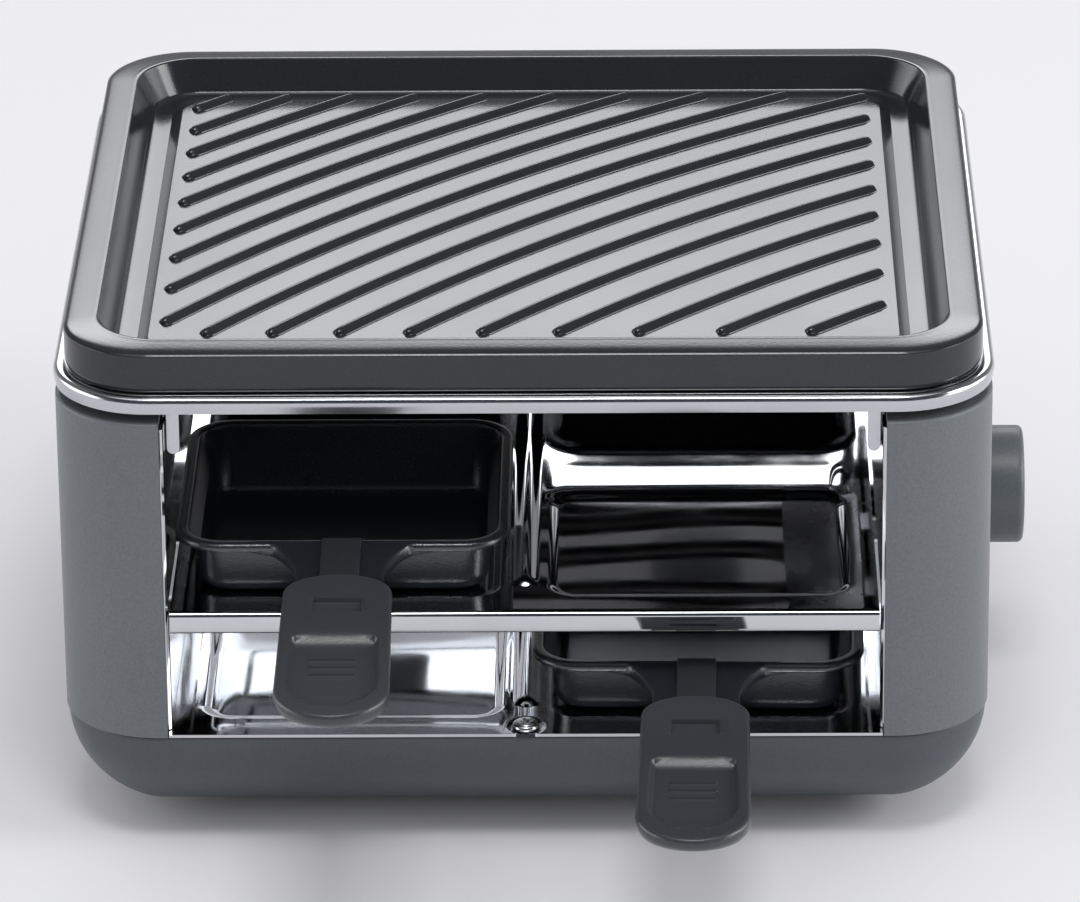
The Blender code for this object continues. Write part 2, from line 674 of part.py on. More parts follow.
def lower_tray(look):
    """Polished pressed tray on the base, held by a screw at the front and one at the rear."""
    half = [(y, 0.0) for y in sheet_rows()] + [(HALF_DEPTH - TRAY_SET_BACK, 0.0)]
    profile = [(-y, drop) for y, drop in reversed(half)] + [(0.0, 0.0)] + half
    tray = solid("lower_tray", pressed_sheet(sheet_lines(OPENING_HALF - GAP), profile, TRAY_TOP), look)
    for end in (-1, 1):
        hole = [(SCREW_RADIUS + GAP, TRAY_TOP - 2.0 * SHEET), (SCREW_RADIUS + GAP, TRAY_TOP + SHEET)]
        cut(tray, "tray_screw_hole", skin(turned(hole, "z", (0.0, end * SCREW_Y, 0.0))))


def tray_screw(name, end, look):
    seat = TRAY_TOP + GAP
    profile = [(SCREW_RADIUS, SEAM_Z - SCREW_LENGTH), (SCREW_RADIUS, seat), (SCREW_HEAD_RADIUS, seat),
               (SCREW_HEAD_RADIUS, seat + 0.4 * SCREW_HEAD_HEIGHT),
               (SCREW_CROWN_RADIUS, seat + 0.5 * SCREW_HEAD_HEIGHT),
               (0.85 * SCREW_CROWN_RADIUS, seat + SCREW_HEAD_HEIGHT)]
    solid(name, skin(turned(profile, "z", (0.0, end * SCREW_Y, 0.0))), look)


def rib_sections(ring_number):
    """Cross-sections of one rib along its arc, or nothing where the arc misses the field."""
    radius = math.sqrt(RIB_RING ** 2 + 2.0 * RIB_RING * RIB_PITCH * ring_number)
    inside = []
    fine = 400
    for step in range(fine + 1):
        angle = 0.5 * math.pi * (1.0 + step / fine)
        x, y = RIB_CENTRE_X + radius * math.cos(angle), -RIB_CENTRE_Y + radius * math.sin(angle)
        if abs(x) <= RIB_FIELD_X and -RIB_FIELD_NEAR <= y <= RIB_FIELD_FAR:
            inside.append(angle)
    if not inside or radius * (inside[-1] - inside[0]) < RIB_SHORTEST:
        return None
    length = radius * (inside[-1] - inside[0])
    steps = max(2, round(length / RIB_STEP))
    half, floor = 0.5 * RIB_WIDTH, PLATE_Z + PLATE_FIELD_FLOOR
    foot = PLATE_GUTTER_FLOOR - PLATE_FIELD_FLOOR - OVERLAP
    side = [(1.0, 0.0), (0.62, 0.5), (0.38, 0.86), (0.14, 1.0)]
    outline = [(-1.0, None), (1.0, None)] + side + [(-out, rise) for out, rise in reversed(side)]
    tip = RIB_TIP / radius
    first, last = inside[0] + tip, inside[-1] - tip
    stations = [(inside[0], RIB_TIP_SHARE)]
    stations += [(first + (last - first) * step / steps, 1.0) for step in range(steps + 1)]
    stations += [(inside[-1], RIB_TIP_SHARE)]
    sections = []
    for angle, share in stations:
        section = []
        for out, rise in outline:
            away = radius + half * out * (0.5 + 0.5 * share)
            z = floor + (foot if rise is None else RIB_HEIGHT * rise * share)
            section.append((RIB_CENTRE_X + away * math.cos(angle),
                            -RIB_CENTRE_Y + away * math.sin(angle), z))
        sections.append(section)
    return sections


def grill_plate(look):
    """Cast plate: raised rim, gutter, ribbed field, a hollow under the rim, a skirt in the frame's hole."""
    out_x, out_y = HALF_WIDTH - PLATE_INSET, HALF_DEPTH - PLATE_INSET

    def level(inset, height):
        radius = max(BODY_CORNER - PLATE_INSET - PLATE_CORNER_SHARE * inset, PLATE_CORNER_LEAST)
        return rounded(out_x - inset, out_y - inset, radius, PLATE_Z + height)

    def skirt(inset, height):
        half_x = FRAME_HOLE_X - PLATE_SKIRT_CLEARANCE - inset
        half_y = FRAME_HOLE_Y - PLATE_SKIRT_CLEARANCE - inset
        return rounded(half_x, half_y, FRAME_HOLE_CORNER - inset, PLATE_Z + height)

    top, crest = PLATE_RIM_HEIGHT, PLATE_CREST
    fall = top - PLATE_SIDE_HEIGHT
    deep = top - PLATE_GUTTER_FLOOR
    rings = [skirt(PLATE_SKIRT_WALL, 0.0), skirt(PLATE_SKIRT_WALL, -PLATE_SKIRT_HEIGHT),
             skirt(0.0, -PLATE_SKIRT_HEIGHT), skirt(0.0, 0.0),
             level(PLATE_HOLLOW_IN, 0.0), level(PLATE_HOLLOW_IN - OVERLAP, PLATE_HOLLOW_HEIGHT),
             level(PLATE_HOLLOW_OUT + OVERLAP, PLATE_HOLLOW_HEIGHT), level(PLATE_HOLLOW_OUT, 0.0),
             level(0.5 * OVERLAP, 0.0), level(0.0, OVERLAP), level(0.0, PLATE_SIDE_HEIGHT)]
    crown = [(0.04, 0.28), (0.16, 0.55), (0.38, 0.79), (0.66, 0.94), (1.0, 1.0)]
    rings += [level(crest * across, PLATE_SIDE_HEIGHT + fall * rise) for across, rise in crown]
    rings += [level(crest + 0.6 * PLATE_CREST_EDGE, top - 0.2 * PLATE_CREST_EDGE),
             level(crest + PLATE_CREST_EDGE, top - PLATE_CREST_EDGE),
             level(0.93 * PLATE_WALL_FOOT, top - 0.78 * deep), level(PLATE_WALL_FOOT, top - 0.94 * deep),
             level(1.1 * PLATE_WALL_FOOT, PLATE_GUTTER_FLOOR), level(PLATE_GUTTER_IN, PLATE_GUTTER_FLOOR),
             level(0.4 * PLATE_GUTTER_IN + 0.6 * PLATE_FIELD_INSET,
                   0.3 * PLATE_GUTTER_FLOOR + 0.7 * PLATE_FIELD_FLOOR),
             level(PLATE_FIELD_INSET, PLATE_FIELD_FLOOR)]
    plate = solid("grill_plate", skin(rings), look, (0.0, 0.0, PLATE_Z))
    points, faces = [], []
    span = 2.0 * RIB_RING * RIB_PITCH
    near = math.hypot(RIB_CENTRE_X - RIB_FIELD_X, RIB_CENTRE_Y - RIB_FIELD_NEAR)
    far = math.hypot(RIB_CENTRE_X + RIB_FIELD_X, RIB_CENTRE_Y + RIB_FIELD_FAR)
    first = math.ceil((near ** 2 - RIB_RING ** 2) / span)
    last = math.floor((far ** 2 - RIB_RING ** 2) / span)
    for number in range(first, last + 1):
        sections = rib_sections(number)
        if sections is not None:
            more_points, more_faces = skin(sections)
            faces += [tuple(index + len(points) for index in face) for face in more_faces]
            points += more_points
    join(plate, "plate_ribs", (points, faces))


def placed(point, x, turn, level):
    """From a pan's own coordinates, its handle towards -Y, turned about the pan's middle, to its place."""
    middle = -0.5 * (PAN_FRONT_Y + PAN_FAR_Y)
    along = point[1] - middle
    end = 1.0 if abs(turn) < 0.5 * math.pi else -1.0
    return (x + point[0] * math.cos(turn) - along * math.sin(turn),
            end * middle + point[0] * math.sin(turn) + along * math.cos(turn), level + point[2])


def tilted(u, w):
    """(y, z) of a point u forward from the rim and w above the tongue's top plane."""
    y = -PAN_FRONT_Y + OVERLAP - u * math.cos(TONGUE_ANGLE) - w * math.sin(TONGUE_ANGLE)
    z = PAN_REST + PAN_HEIGHT - u * math.sin(TONGUE_ANGLE) + w * math.cos(TONGUE_ANGLE)
    return y, z


def pan_shell():
    """Rings of the pressed pan, from the flat base up, over the rolled rim and down to the inside floor."""
    def level(inset, share, height):
        half_x = 0.5 * PAN_WIDTH - inset
        front = -PAN_FRONT_Y + inset
        far = -PAN_FAR_Y - inset - share * PAN_FAR_SLOPE
        radius = max(PAN_CORNER - PAN_CORNER_SHARE * inset, PAN_CORNER_LEAST)
        return rounded(half_x, 0.5 * (far - front), radius, PAN_REST + height, 0.0, 0.5 * (far + front))

    turns = [0.5 * math.pi * step / PAN_BASE_STEPS for step in range(PAN_BASE_STEPS + 1)]
    foot_in = PAN_RIM_OUT + PAN_WALL_DRAFT
    rings = []
    for turn in turns:
        bend = PAN_BASE_ROUND
        rings.append(level(foot_in + bend * (1.0 - math.sin(turn)), 1.0, bend * (1.0 - math.cos(turn))))
    roll = PAN_RIM_ROLL
    rings += [level(PAN_RIM_OUT, 0.0, PAN_HEIGHT - PAN_RIM_DROP),
              level(0.5 * roll, 0.0, PAN_HEIGHT - 1.7 * roll),
              level(0.0, 0.0, PAN_HEIGHT - roll), level(0.5 * roll, 0.0, PAN_HEIGHT - 0.2 * roll),
              level(roll, 0.0, PAN_HEIGHT), level(PAN_RIM_LAND, 0.0, PAN_HEIGHT),
              level(PAN_RIM_LAND + 0.4 * roll, 0.0, PAN_HEIGHT - 0.4 * roll),
              level(PAN_RIM_OUT + PAN_SHEET, 0.0, PAN_HEIGHT - PAN_RIM_DROP)]
    for turn in reversed(turns):
        bend = PAN_BASE_ROUND - PAN_SHEET
        rings.append(level(foot_in + PAN_SHEET + bend * (1.0 - math.sin(turn)), 1.0,
                           PAN_SHEET + bend * (1.0 - math.cos(turn))))
    return rings


def strip(stations, low, high):
    """A flat strip on the tongue's slope: (forward, half width) stations between two heights."""
    rings = []
    for u, half in stations:
        ring = []
        for x, w in ((-half, low), (half, low), (half, high), (-half, high)):
            y, z = tilted(u, w)
            ring.append((x, y, z))
        rings.append(ring)
    return rings


def tongue_stations():
    spread = TONGUE_FLARE_HALF - TONGUE_HALF
    stations = [(-TONGUE_START, TONGUE_FLARE_HALF)]
    for share in (0.0, 0.08, 0.18, 0.3, 0.46, 0.68, 1.0):
        stations.append((TONGUE_FLARE * share, TONGUE_HALF + spread * (1.0 - share) ** TONGUE_FLARE_POWER))
    return stations + [(TONGUE_LENGTH, TONGUE_HALF)]


def oval(start, end, start_half, end_half, start_bulge, end_bulge, inset):
    """A handle's outline: straight sides between two half ovals, set in by the given amount."""
    points = []
    for step in range(HANDLE_ARC_STEPS + 1):
        angle = math.pi * step / HANDLE_ARC_STEPS
        points.append((-(end_half - inset) * math.cos(angle),
                       end - end_bulge + (end_bulge - inset) * math.sin(angle)))
    for step in range(HANDLE_ARC_STEPS + 1):
        angle = math.pi * step / HANDLE_ARC_STEPS
        points.append(((start_half - inset) * math.cos(angle),
                       start + start_bulge - (start_bulge - inset) * math.sin(angle)))
    return points


def on_slope(outline, w):
    return [(x, *tilted(u, w)) for x, u in outline]


def handle_body():
    """Rings of the handle: rounded below, where its tip rises, with a slightly rounded top edge."""
    def level(inset, w, rise=0.0):
        return on_slope(oval(HANDLE_START, HANDLE_END - rise * HANDLE_TIP_RISE, HANDLE_START_HALF,
                             HANDLE_END_HALF, HANDLE_START_BULGE, HANDLE_END_BULGE, inset), w)

    return [level(HANDLE_KEEL, -HANDLE_BOTTOM, 1.0), level(0.45 * HANDLE_KEEL, -0.75 * HANDLE_BOTTOM, 0.7),
            level(0.12 * HANDLE_KEEL, -0.1 * HANDLE_BOTTOM, 0.35), level(0.0, HANDLE_WIDEST),
            level(0.25 * HANDLE_EDGE, HANDLE_TOP - 0.4 * HANDLE_EDGE), level(HANDLE_EDGE, HANDLE_TOP)]


def thumb_recess():
    """Rings of the thumb recess: a long ramp towards the pan, steep on its other sides."""
    def level(inset, ramp, w):
        return on_slope(oval(THUMB_START + ramp - inset, THUMB_END, HANDLE_START_HALF - THUMB_MARGIN,
                             HANDLE_END_HALF - THUMB_MARGIN, THUMB_START_BULGE, THUMB_END_BULGE, inset), w)

    return [level(THUMB_DRAFT, THUMB_RAMP, HANDLE_TOP - THUMB_DEPTH), level(0.0, 0.0, HANDLE_TOP),
            level(0.0, 0.0, HANDLE_TOP + OVERLAP)]


def bar(start, end, half, low, high):
    return strip([(start, half), (end, half)], low, high)


def pan_set(number, x, turn, level, looks):
    """One pan with its tongue, the strap on the tongue, and the handle over both."""
    pan_look, strap_look, handle_look = looks

    def there(rings):
        return skin([[placed(point, x, turn, level) for point in ring] for ring in rings])

    origin = placed((0.0, -PAN_FRONT_Y, PAN_REST + PAN_HEIGHT), x, turn, level)
    pan = solid("pan_%d" % number, there(pan_shell()), pan_look, origin)
    tongue = strip(tongue_stations(), -TONGUE_DROP - PAN_SHEET, -TONGUE_DROP)
    join(pan, "pan_tongue_%d" % number, there(tongue))
    low = GAP - TONGUE_DROP
    strap = bar(-STRAP_START, STRAP_LENGTH, STRAP_HALF, low, low + STRAP_SHEET)
    solid("pan_strap_%d" % number, there(strap), strap_look, origin)
    handle = solid("pan_handle_%d" % number, there(handle_body()), handle_look, origin)
    pocket = bar(HANDLE_START - HANDLE_EDGE, TONGUE_LENGTH + GAP, TONGUE_HALF + GAP,
                 -TONGUE_DROP - PAN_SHEET - GAP, low + STRAP_SHEET + GAP)
    cut(handle, "handle_pocket_%d" % number, there(pocket))
    slot = bar(SLOT_START, SLOT_END, SLOT_HALF, HANDLE_TOP - SLOT_DEPTH, HANDLE_TOP + OVERLAP)
    cut(handle, "handle_slot_%d" % number, there(slot))
    cut(handle, "handle_thumb_%d" % number, there(thumb_recess()))
    floor = HANDLE_TOP - THUMB_DEPTH
    for line in range(GRIP_COUNT):
        start = GRIP_FIRST + line * GRIP_PITCH
        grip = bar(start, start + GRIP_WIDTH, GRIP_HALF, floor - GRIP_HEIGHT, floor + GRIP_HEIGHT)
        join(handle, "handle_grip_%d_%d" % (number, line), there(grip))


def element_path():
    """Middle line of the tube: four waved passes joined by three bends, both ends in the right wall."""
    def run(pass_y, start, end, sign):
        xs = [start + (end - start) * step / PASS_STEPS for step in range(PASS_STEPS + 1)]
        return [(x, sign * pass_y(x)) for x in xs]

    def turn(x, first, last, bulge):
        """A half circle between two heights, left out its two end points."""
        middle, radius = 0.5 * (first + last), 0.5 * (first - last)
        arc = []
        for step in range(1, TURN_STEPS):
            angle = math.pi * step / TURN_STEPS
            arc.append((x + bulge * abs(radius) * math.sin(angle), middle + radius * math.cos(angle)))
        return arc

    left, right = TURN_LEFT_MARGIN - WALL_FACE, WALL_FACE - TURN_RIGHT_MARGIN
    end = WALL_FACE + TUBE_END_REACH
    path = [(end, outer_pass(end))] + run(outer_pass, TUBE_STRAIGHT_X, left, 1)
    path += turn(left, outer_pass(left), inner_pass(left), -1)
    path += run(inner_pass, left, right, 1)
    path += turn(right, inner_pass(right), -inner_pass(right), 1)
    path += run(inner_pass, right, left, -1)
    path += turn(left, -inner_pass(left), -outer_pass(left), -1)
    path += run(outer_pass, left, TUBE_STRAIGHT_X, -1)
    return path + [(end, -outer_pass(end))]


def heating_element(look):
    path = element_path()
    rings = []
    for index, (x, y) in enumerate(path):
        before = Vector(path[max(index - 1, 0)])
        after = Vector(path[min(index + 1, len(path) - 1)])
        along = (after - before).normalized()
        ring = []
        for side in range(TUBE_SIDES):
            angle = 2.0 * math.pi * (side + 0.5) / TUBE_SIDES
            out = TUBE_RADIUS * math.cos(angle)
            ring.append((x - along.y * out, y + along.x * out, TUBE_Z + TUBE_RADIUS * math.sin(angle)))
        rings.append(ring)
    solid("heating_element", skin(rings), look)


def element_bracket(name, side, look):
    """Angled sheet on an inner wall: its shelf carries the tube's bends, its hooks sit in the wall."""
    z = bracket_z()
    half = 0.5 * BRACKET_SHEET
    back = WALL_FACE - GAP - half
    path = [(side * (back - BRACKET_REACH), z), (side * (back - 2.0 * half), z),
            (side * (back - 0.3 * half), z + 0.3 * half), (side * back, z + 2.0 * half),
            (side * back, z + BRACKET_HEIGHT)]
    outline = ribbon(path, BRACKET_SHEET)
    rings = [[(x, y, height) for x, height in outline] for y in (-BRACKET_HALF_LENGTH, BRACKET_HALF_LENGTH)]
    bracket = solid(name, skin(rings), look)
    for end in (-1, 1):
        start = WALL_FACE - HOOK_REACH
        join(bracket, name + "_hook", hook(end * BRACKET_TAB_Y, z, BRACKET_TAB_HALF, side, start))
        if side > 0:
            radius = TUBE_RADIUS + GAP
            hole = [(radius, back - BRACKET_SHEET), (radius, WALL_FACE + GAP)]
            centre = (0.0, end * outer_pass(back), TUBE_Z)
            cut(bracket, "bracket_tube_hole", skin(turned(hole, "x", centre)))


def thermostat(body_look, metal_look):
    """Thermostat behind the side wall: its threaded bush comes through the wall and takes a nut."""
    centre = (HOUSING_X, 0.0, KNOB_Z)
    face = -HOUSING_WALL - GAP
    low = (WALL_FACE + WALL_SHEET + THERMOSTAT_ROOM, -THERMOSTAT_HALF, KNOB_Z - THERMOSTAT_HALF)
    high = (HOUSING_X + face, THERMOSTAT_HALF, KNOB_Z + THERMOSTAT_HALF)
    body = solid("thermostat_body", box(low, high), body_look)
    bush = [(BUSH_RADIUS, face - OVERLAP), (BUSH_RADIUS, BUSH_OUT)]
    join(body, "thermostat_bush", skin(turned(bush, "x", centre)))
    bore = [(SHAFT_RADIUS + SHAFT_RUNNING, -SHAFT_IN - GAP), (SHAFT_RADIUS + SHAFT_RUNNING, KNOB_REACH)]
    cut(body, "thermostat_bore", skin(turned(bore, "x", centre)))
    nut = [(NUT_RADIUS, GAP), (NUT_RADIUS, GAP + NUT_HEIGHT)]
    nut_piece = solid("thermostat_nut", skin(turned(nut, "x", centre, NUT_SIDES)), metal_look)
    thread = [(BUSH_RADIUS + GAP, GAP - OVERLAP), (BUSH_RADIUS + GAP, GAP + NUT_HEIGHT + OVERLAP)]
    cut(nut_piece, "nut_hole", skin(turned(thread, "x", centre)))
    shaft = [(SHAFT_RADIUS, -SHAFT_IN), (SHAFT_RADIUS, SHAFT_OUT)]
    solid("thermostat_shaft", skin(turned(shaft, "x", centre)), metal_look, centre)


def control_knob(look):
    """Plain round knob, hollow at the back, with a hub that takes the shaft."""
    centre = (HOUSING_X, 0.0, KNOB_Z)
    reach, edge = KNOB_REACH + HOUSING_INSET, KNOB_EDGE
    bore = SHAFT_RADIUS + GAP
    profile = [(KNOB_RADIUS - KNOB_WALL, KNOB_STAND_OFF), (KNOB_RADIUS, KNOB_STAND_OFF),
               (KNOB_RADIUS, reach - edge), (KNOB_RADIUS - 0.3 * edge, reach - 0.3 * edge),
               (KNOB_RADIUS - edge, reach), (0.4 * KNOB_RADIUS, reach)]
    inside = [(bore, SHAFT_OUT + GAP), (bore, KNOB_HUB_BACK), (KNOB_HUB_RADIUS, KNOB_HUB_BACK),
              (KNOB_HUB_RADIUS, reach - KNOB_WALL), (KNOB_RADIUS - KNOB_WALL, reach - KNOB_WALL)]
    rings = turned(list(reversed(profile)), "x", centre, KNOB_STEPS)
    rings += turned(list(reversed(inside)), "x", centre, KNOB_STEPS)
    solid("control_knob", skin(rings), look, centre)


def cable_gland(look):
    """Bush in the right housing that the supply cable would leave through."""
    centre = (HOUSING_X, GLAND_Y, GLAND_Z)
    inner = -HOUSING_WALL - GAP
    profile = [(GLAND_BORE_RADIUS, GAP + GLAND_FLANGE), (GLAND_FLANGE_RADIUS, GAP + GLAND_FLANGE),
               (GLAND_FLANGE_RADIUS, GAP), (GLAND_NECK_RADIUS, GAP), (GLAND_NECK_RADIUS, inner),
               (GLAND_FLANGE_RADIUS - GLAND_FLANGE * 0.5, inner),
               (GLAND_FLANGE_RADIUS - GLAND_FLANGE * 0.5, inner - GLAND_FLANGE),
               (GLAND_BORE_RADIUS, inner - GLAND_FLANGE)]
    solid("cable_gland", loop_skin(turned(profile, "x", centre)), look)


def build():
    for leftover in list(bpy.data.objects):
        bpy.data.objects.remove(leftover, do_unlink=True)
    base_look = material("base_plastic", (0.055, 0.063, 0.072), 0.45, 0.0)
    housing_look = material("housing_plastic", (0.095, 0.110, 0.120), 0.42, 0.0)
    rubber_look = material("foot_rubber", (0.02, 0.02, 0.02), 0.8, 0.0)
    steel_look = material("polished_steel", (0.78, 0.79, 0.80), 0.08, 1.0)
    band_look = material("band_steel", (0.72, 0.73, 0.75), 0.2, 1.0)
    plate_look = material("plate_coating", (0.045, 0.050, 0.056), 0.3, 0.0)
    pan_look = material("pan_coating", (0.012, 0.013, 0.016), 0.35, 0.0)
    strap_look = material("strap_coating", (0.016, 0.017, 0.021), 0.4, 0.0)
    handle_look = material("handle_plastic", (0.020, 0.022, 0.026), 0.5, 0.0)
    tube_look = material("tube_steel", (0.10, 0.10, 0.11), 0.45, 0.8)
    bracket_look = material("bracket_steel", (0.45, 0.46, 0.47), 0.35, 1.0)
    ceramic_look = material("thermostat_resin", (0.25, 0.22, 0.18), 0.6, 0.0)
    screw_look = material("screw_steel", (0.65, 0.66, 0.68), 0.2, 1.0)
    knob_look = material("knob_plastic", (0.16, 0.175, 0.185), 0.5, 0.0)

    base_housing(base_look)
    number = 0
    for end in (-1, 1):
        for side in (-1, 1):
            number += 1
            foot("foot_%d" % number, side * FOOT_X, end * FOOT_Y, rubber_look)
    side_housing("side_housing_left", -1, housing_look)
    side_housing("side_housing_right", 1, housing_look)
    cable_gland(rubber_look)
    inner_wall("inner_wall_left", -1, steel_look)
    inner_wall("inner_wall_right", 1, steel_look)
    lower_tray(steel_look)
    tray_screw("tray_screw_front", -1, screw_look)
    tray_screw("tray_screw_rear", 1, screw_look)
    middle_shelf(steel_look)
    element_bracket("element_bracket_left", -1, bracket_look)
    element_bracket("element_bracket_right", 1, bracket_look)
    heating_element(tube_look)
    top_frame(band_look)
    grill_plate(plate_look)
    thermostat(ceramic_look, screw_look)
    control_knob(knob_look)
    looks = (pan_look, strap_look, handle_look)
    pan_set(1, -PAN_X - UPPER_PAN_AWAY, 0.0, SHELF_TOP, looks)
    pan_set(2, PAN_X - LOWER_PAN_AWAY, LOWER_PAN_TURN, TRAY_TOP, looks)
    pan_set(3, -PAN_X, math.pi, SHELF_TOP, looks)
    pan_set(4, PAN_X, math.pi, SHELF_TOP, looks)


build()
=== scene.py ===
"""Looks of the raclette grill: its visible pieces in fine form and finish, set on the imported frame.

Metres, +Z up, the feet stand on Z = 0. The front faces -Y and the knob is on the +X side.
"""

import math

import bmesh
import bpy
import numpy as np
from mathutils import Matrix, Vector


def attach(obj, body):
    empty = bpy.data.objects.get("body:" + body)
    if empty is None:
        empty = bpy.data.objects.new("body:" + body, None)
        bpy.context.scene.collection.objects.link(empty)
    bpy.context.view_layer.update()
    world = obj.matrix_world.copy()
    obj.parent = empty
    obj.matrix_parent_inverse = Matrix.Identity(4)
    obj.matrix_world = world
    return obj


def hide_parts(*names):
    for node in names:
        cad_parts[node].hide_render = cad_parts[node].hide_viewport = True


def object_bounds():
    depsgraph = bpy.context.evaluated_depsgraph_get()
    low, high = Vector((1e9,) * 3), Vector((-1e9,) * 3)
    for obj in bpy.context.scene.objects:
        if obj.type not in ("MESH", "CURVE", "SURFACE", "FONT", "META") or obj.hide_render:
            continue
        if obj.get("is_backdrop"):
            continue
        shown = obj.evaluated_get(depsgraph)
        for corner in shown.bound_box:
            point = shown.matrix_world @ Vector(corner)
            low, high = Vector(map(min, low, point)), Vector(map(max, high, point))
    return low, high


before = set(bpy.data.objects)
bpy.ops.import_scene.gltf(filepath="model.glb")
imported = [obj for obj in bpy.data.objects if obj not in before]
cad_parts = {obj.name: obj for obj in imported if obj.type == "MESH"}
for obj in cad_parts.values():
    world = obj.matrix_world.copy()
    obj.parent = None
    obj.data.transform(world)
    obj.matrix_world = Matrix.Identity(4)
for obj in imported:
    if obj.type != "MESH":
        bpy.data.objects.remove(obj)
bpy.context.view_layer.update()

# Base housing: a tub moulded in satin dark grey plastic. Its sides curve in to a flat floor, two
# ribs and two screw bosses stand inside, and it carries the tray, the side housings and the feet.
BODY_SHIFT = -0.0063
HALF_WIDTH, HALF_DEPTH, BODY_CORNER = 0.1200, 0.1109, 0.0256
GAP = 0.0003
FOOT_STAND, BASE_HEIGHT = 0.003, 0.0298
BASE_INSET, BASE_ROUND_OUT, BASE_WALL, BASE_EDGE, BASE_INNER_CORNER = 0.0008, 0.0362, 0.0026, 0.0004, 0.004
SEAM_Z = FOOT_STAND + BASE_HEIGHT
BOSS_RADIUS, BOSS_BORE, BOSS_HEIGHT, SCREW_Y = 0.0028, 0.0018, 0.0075, 0.1056
RIB_X, RIB_HALF = 0.0886, 0.0012
QUARTER = np.linspace(0.0, 0.5 * np.pi, 9)
LEAD = 0.0012


def quads(rows, cols, wrap_rows=False, wrap_cols=True):
    """Faces of a grid of points: each joins a point, the next one in its row, and the two above them."""
    row = np.arange(rows if wrap_rows else rows - 1)[:, None]
    col = np.arange(cols if wrap_cols else cols - 1)[None, :]
    above, beside = (row + 1) % rows, (col + 1) % cols
    corners = [row * cols + col, row * cols + beside, above * cols + beside, above * cols + col]
    return np.stack(corners, -1).reshape(-1, 4)


def skin(rings, loop=False, ends=True):
    """A closed shell through a stack of rings, with a face over each end, or joined end to end as a loop.
    Rings that close on themselves at both ends need no end faces."""
    rows, cols = rings.shape[:2]
    faces = [quads(rows, cols, loop)]
    if ends and not loop:
        first = np.arange(cols)[None, :]
        faces += [first[:, ::-1], first + (rows - 1) * cols]
    return rings.reshape(-1, 3), faces


def rounded(half_x, half_y, radius, z, middle_y=0.0, steps=14):
    """Rounded rectangles, one a row: a quarter circle at each corner, and a point a lead past its ends."""
    given = np.broadcast_arrays(*np.atleast_1d(half_x, half_y, radius, z, middle_y))
    half_x, half_y, radius, z, middle_y = (value[:, None] for value in given)
    arc = np.linspace(0.0, 0.5 * np.pi, steps + 1)
    arc = np.concatenate([arc[:1], arc, arc[-1:]])
    slide = np.zeros(steps + 3)
    slide[[0, -1]] = -LEAD, LEAD
    turn = (np.arange(4)[:, None] * 0.5 * np.pi + arc).reshape(-1)
    slide = np.tile(slide, 4)
    side_x, side_y = np.repeat([1, -1, -1, 1], steps + 3), np.repeat([1, 1, -1, -1], steps + 3)
    x = side_x * (half_x - radius) + radius * np.cos(turn) - slide * np.sin(turn)
    y = middle_y + side_y * (half_y - radius) + radius * np.sin(turn) + slide * np.cos(turn)
    return np.stack([x, y, z + 0.0 * x], -1)


def corner(x, y, reach_x, reach_y, turns=QUARTER):
    """A quarter circle that rounds the corner at one point, from its upright side to its level one."""
    return [(x - reach_x * (1.0 - math.cos(turn)), y - reach_y * (1.0 - math.sin(turn))) for turn in turns]


def turned(profile, axis, centre, steps=48):
    """A profile of (radius, distance along the axis) pairs carried once round the x or z axis."""
    radius, along = np.asarray(profile, float).T[:, :, None]
    turn = 2.0 * np.pi * np.arange(steps) / steps
    side, rise, along = radius * np.cos(turn), radius * np.sin(turn), along + 0.0 * turn
    order = (along, side, rise) if axis == "x" else (side, rise, along)
    return np.stack(order, -1) + np.asarray(centre)


def bar(low, high):
    """A plain straight bar between two corners, for ribs, hooks and tabs that are mostly covered."""
    (x0, y0, z0), (x1, y1, z1) = low, high
    ring = np.array([(x0, y0, z0), (x1, y0, z0), (x1, y1, z0), (x0, y1, z0)])
    return skin(np.stack([ring, ring + (0.0, 0.0, z1 - z0)]))


def piece(name, shells, look, body, nodes):
    """One finished mesh from closed shells, merged, facing outwards and smooth up to 35 degrees."""
    points, faces, count = [], [], 0
    for shell_points, shell_faces in shells:
        faces += [face for group in shell_faces for face in (group + count).tolist()]
        points.append(shell_points)
        count += len(shell_points)
    mesh = bpy.data.meshes.new(name)
    mesh.from_pydata((np.concatenate(points) + (BODY_SHIFT, 0.0, 0.0)).tolist(), [], faces)
    work = bmesh.new()
    work.from_mesh(mesh)
    bmesh.ops.remove_doubles(work, verts=work.verts, dist=0.000002)
    bmesh.ops.recalc_face_normals(work, faces=work.faces)
    work.to_mesh(mesh)
    work.free()
    mesh.shade_smooth()
    mesh.set_sharp_from_angle(angle=math.radians(35.0))
    mesh.materials.append(look)
    made = bpy.data.objects.new(name, mesh)
    bpy.context.scene.collection.objects.link(made)
    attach(made, body)
    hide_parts(*nodes)


def node(tree, kind, inputs=None, **settings):
    """One node: settings are its own choices, inputs are socket values or the sockets that feed them."""
    made = tree.nodes.new(kind)
    for name, value in settings.items():
        setattr(made, name, value)
    for name, value in (inputs or {}).items():
        if isinstance(value, bpy.types.NodeSocket):
            tree.links.new(value, made.inputs[name])
        else:
            made.inputs[name].default_value = value
    return made


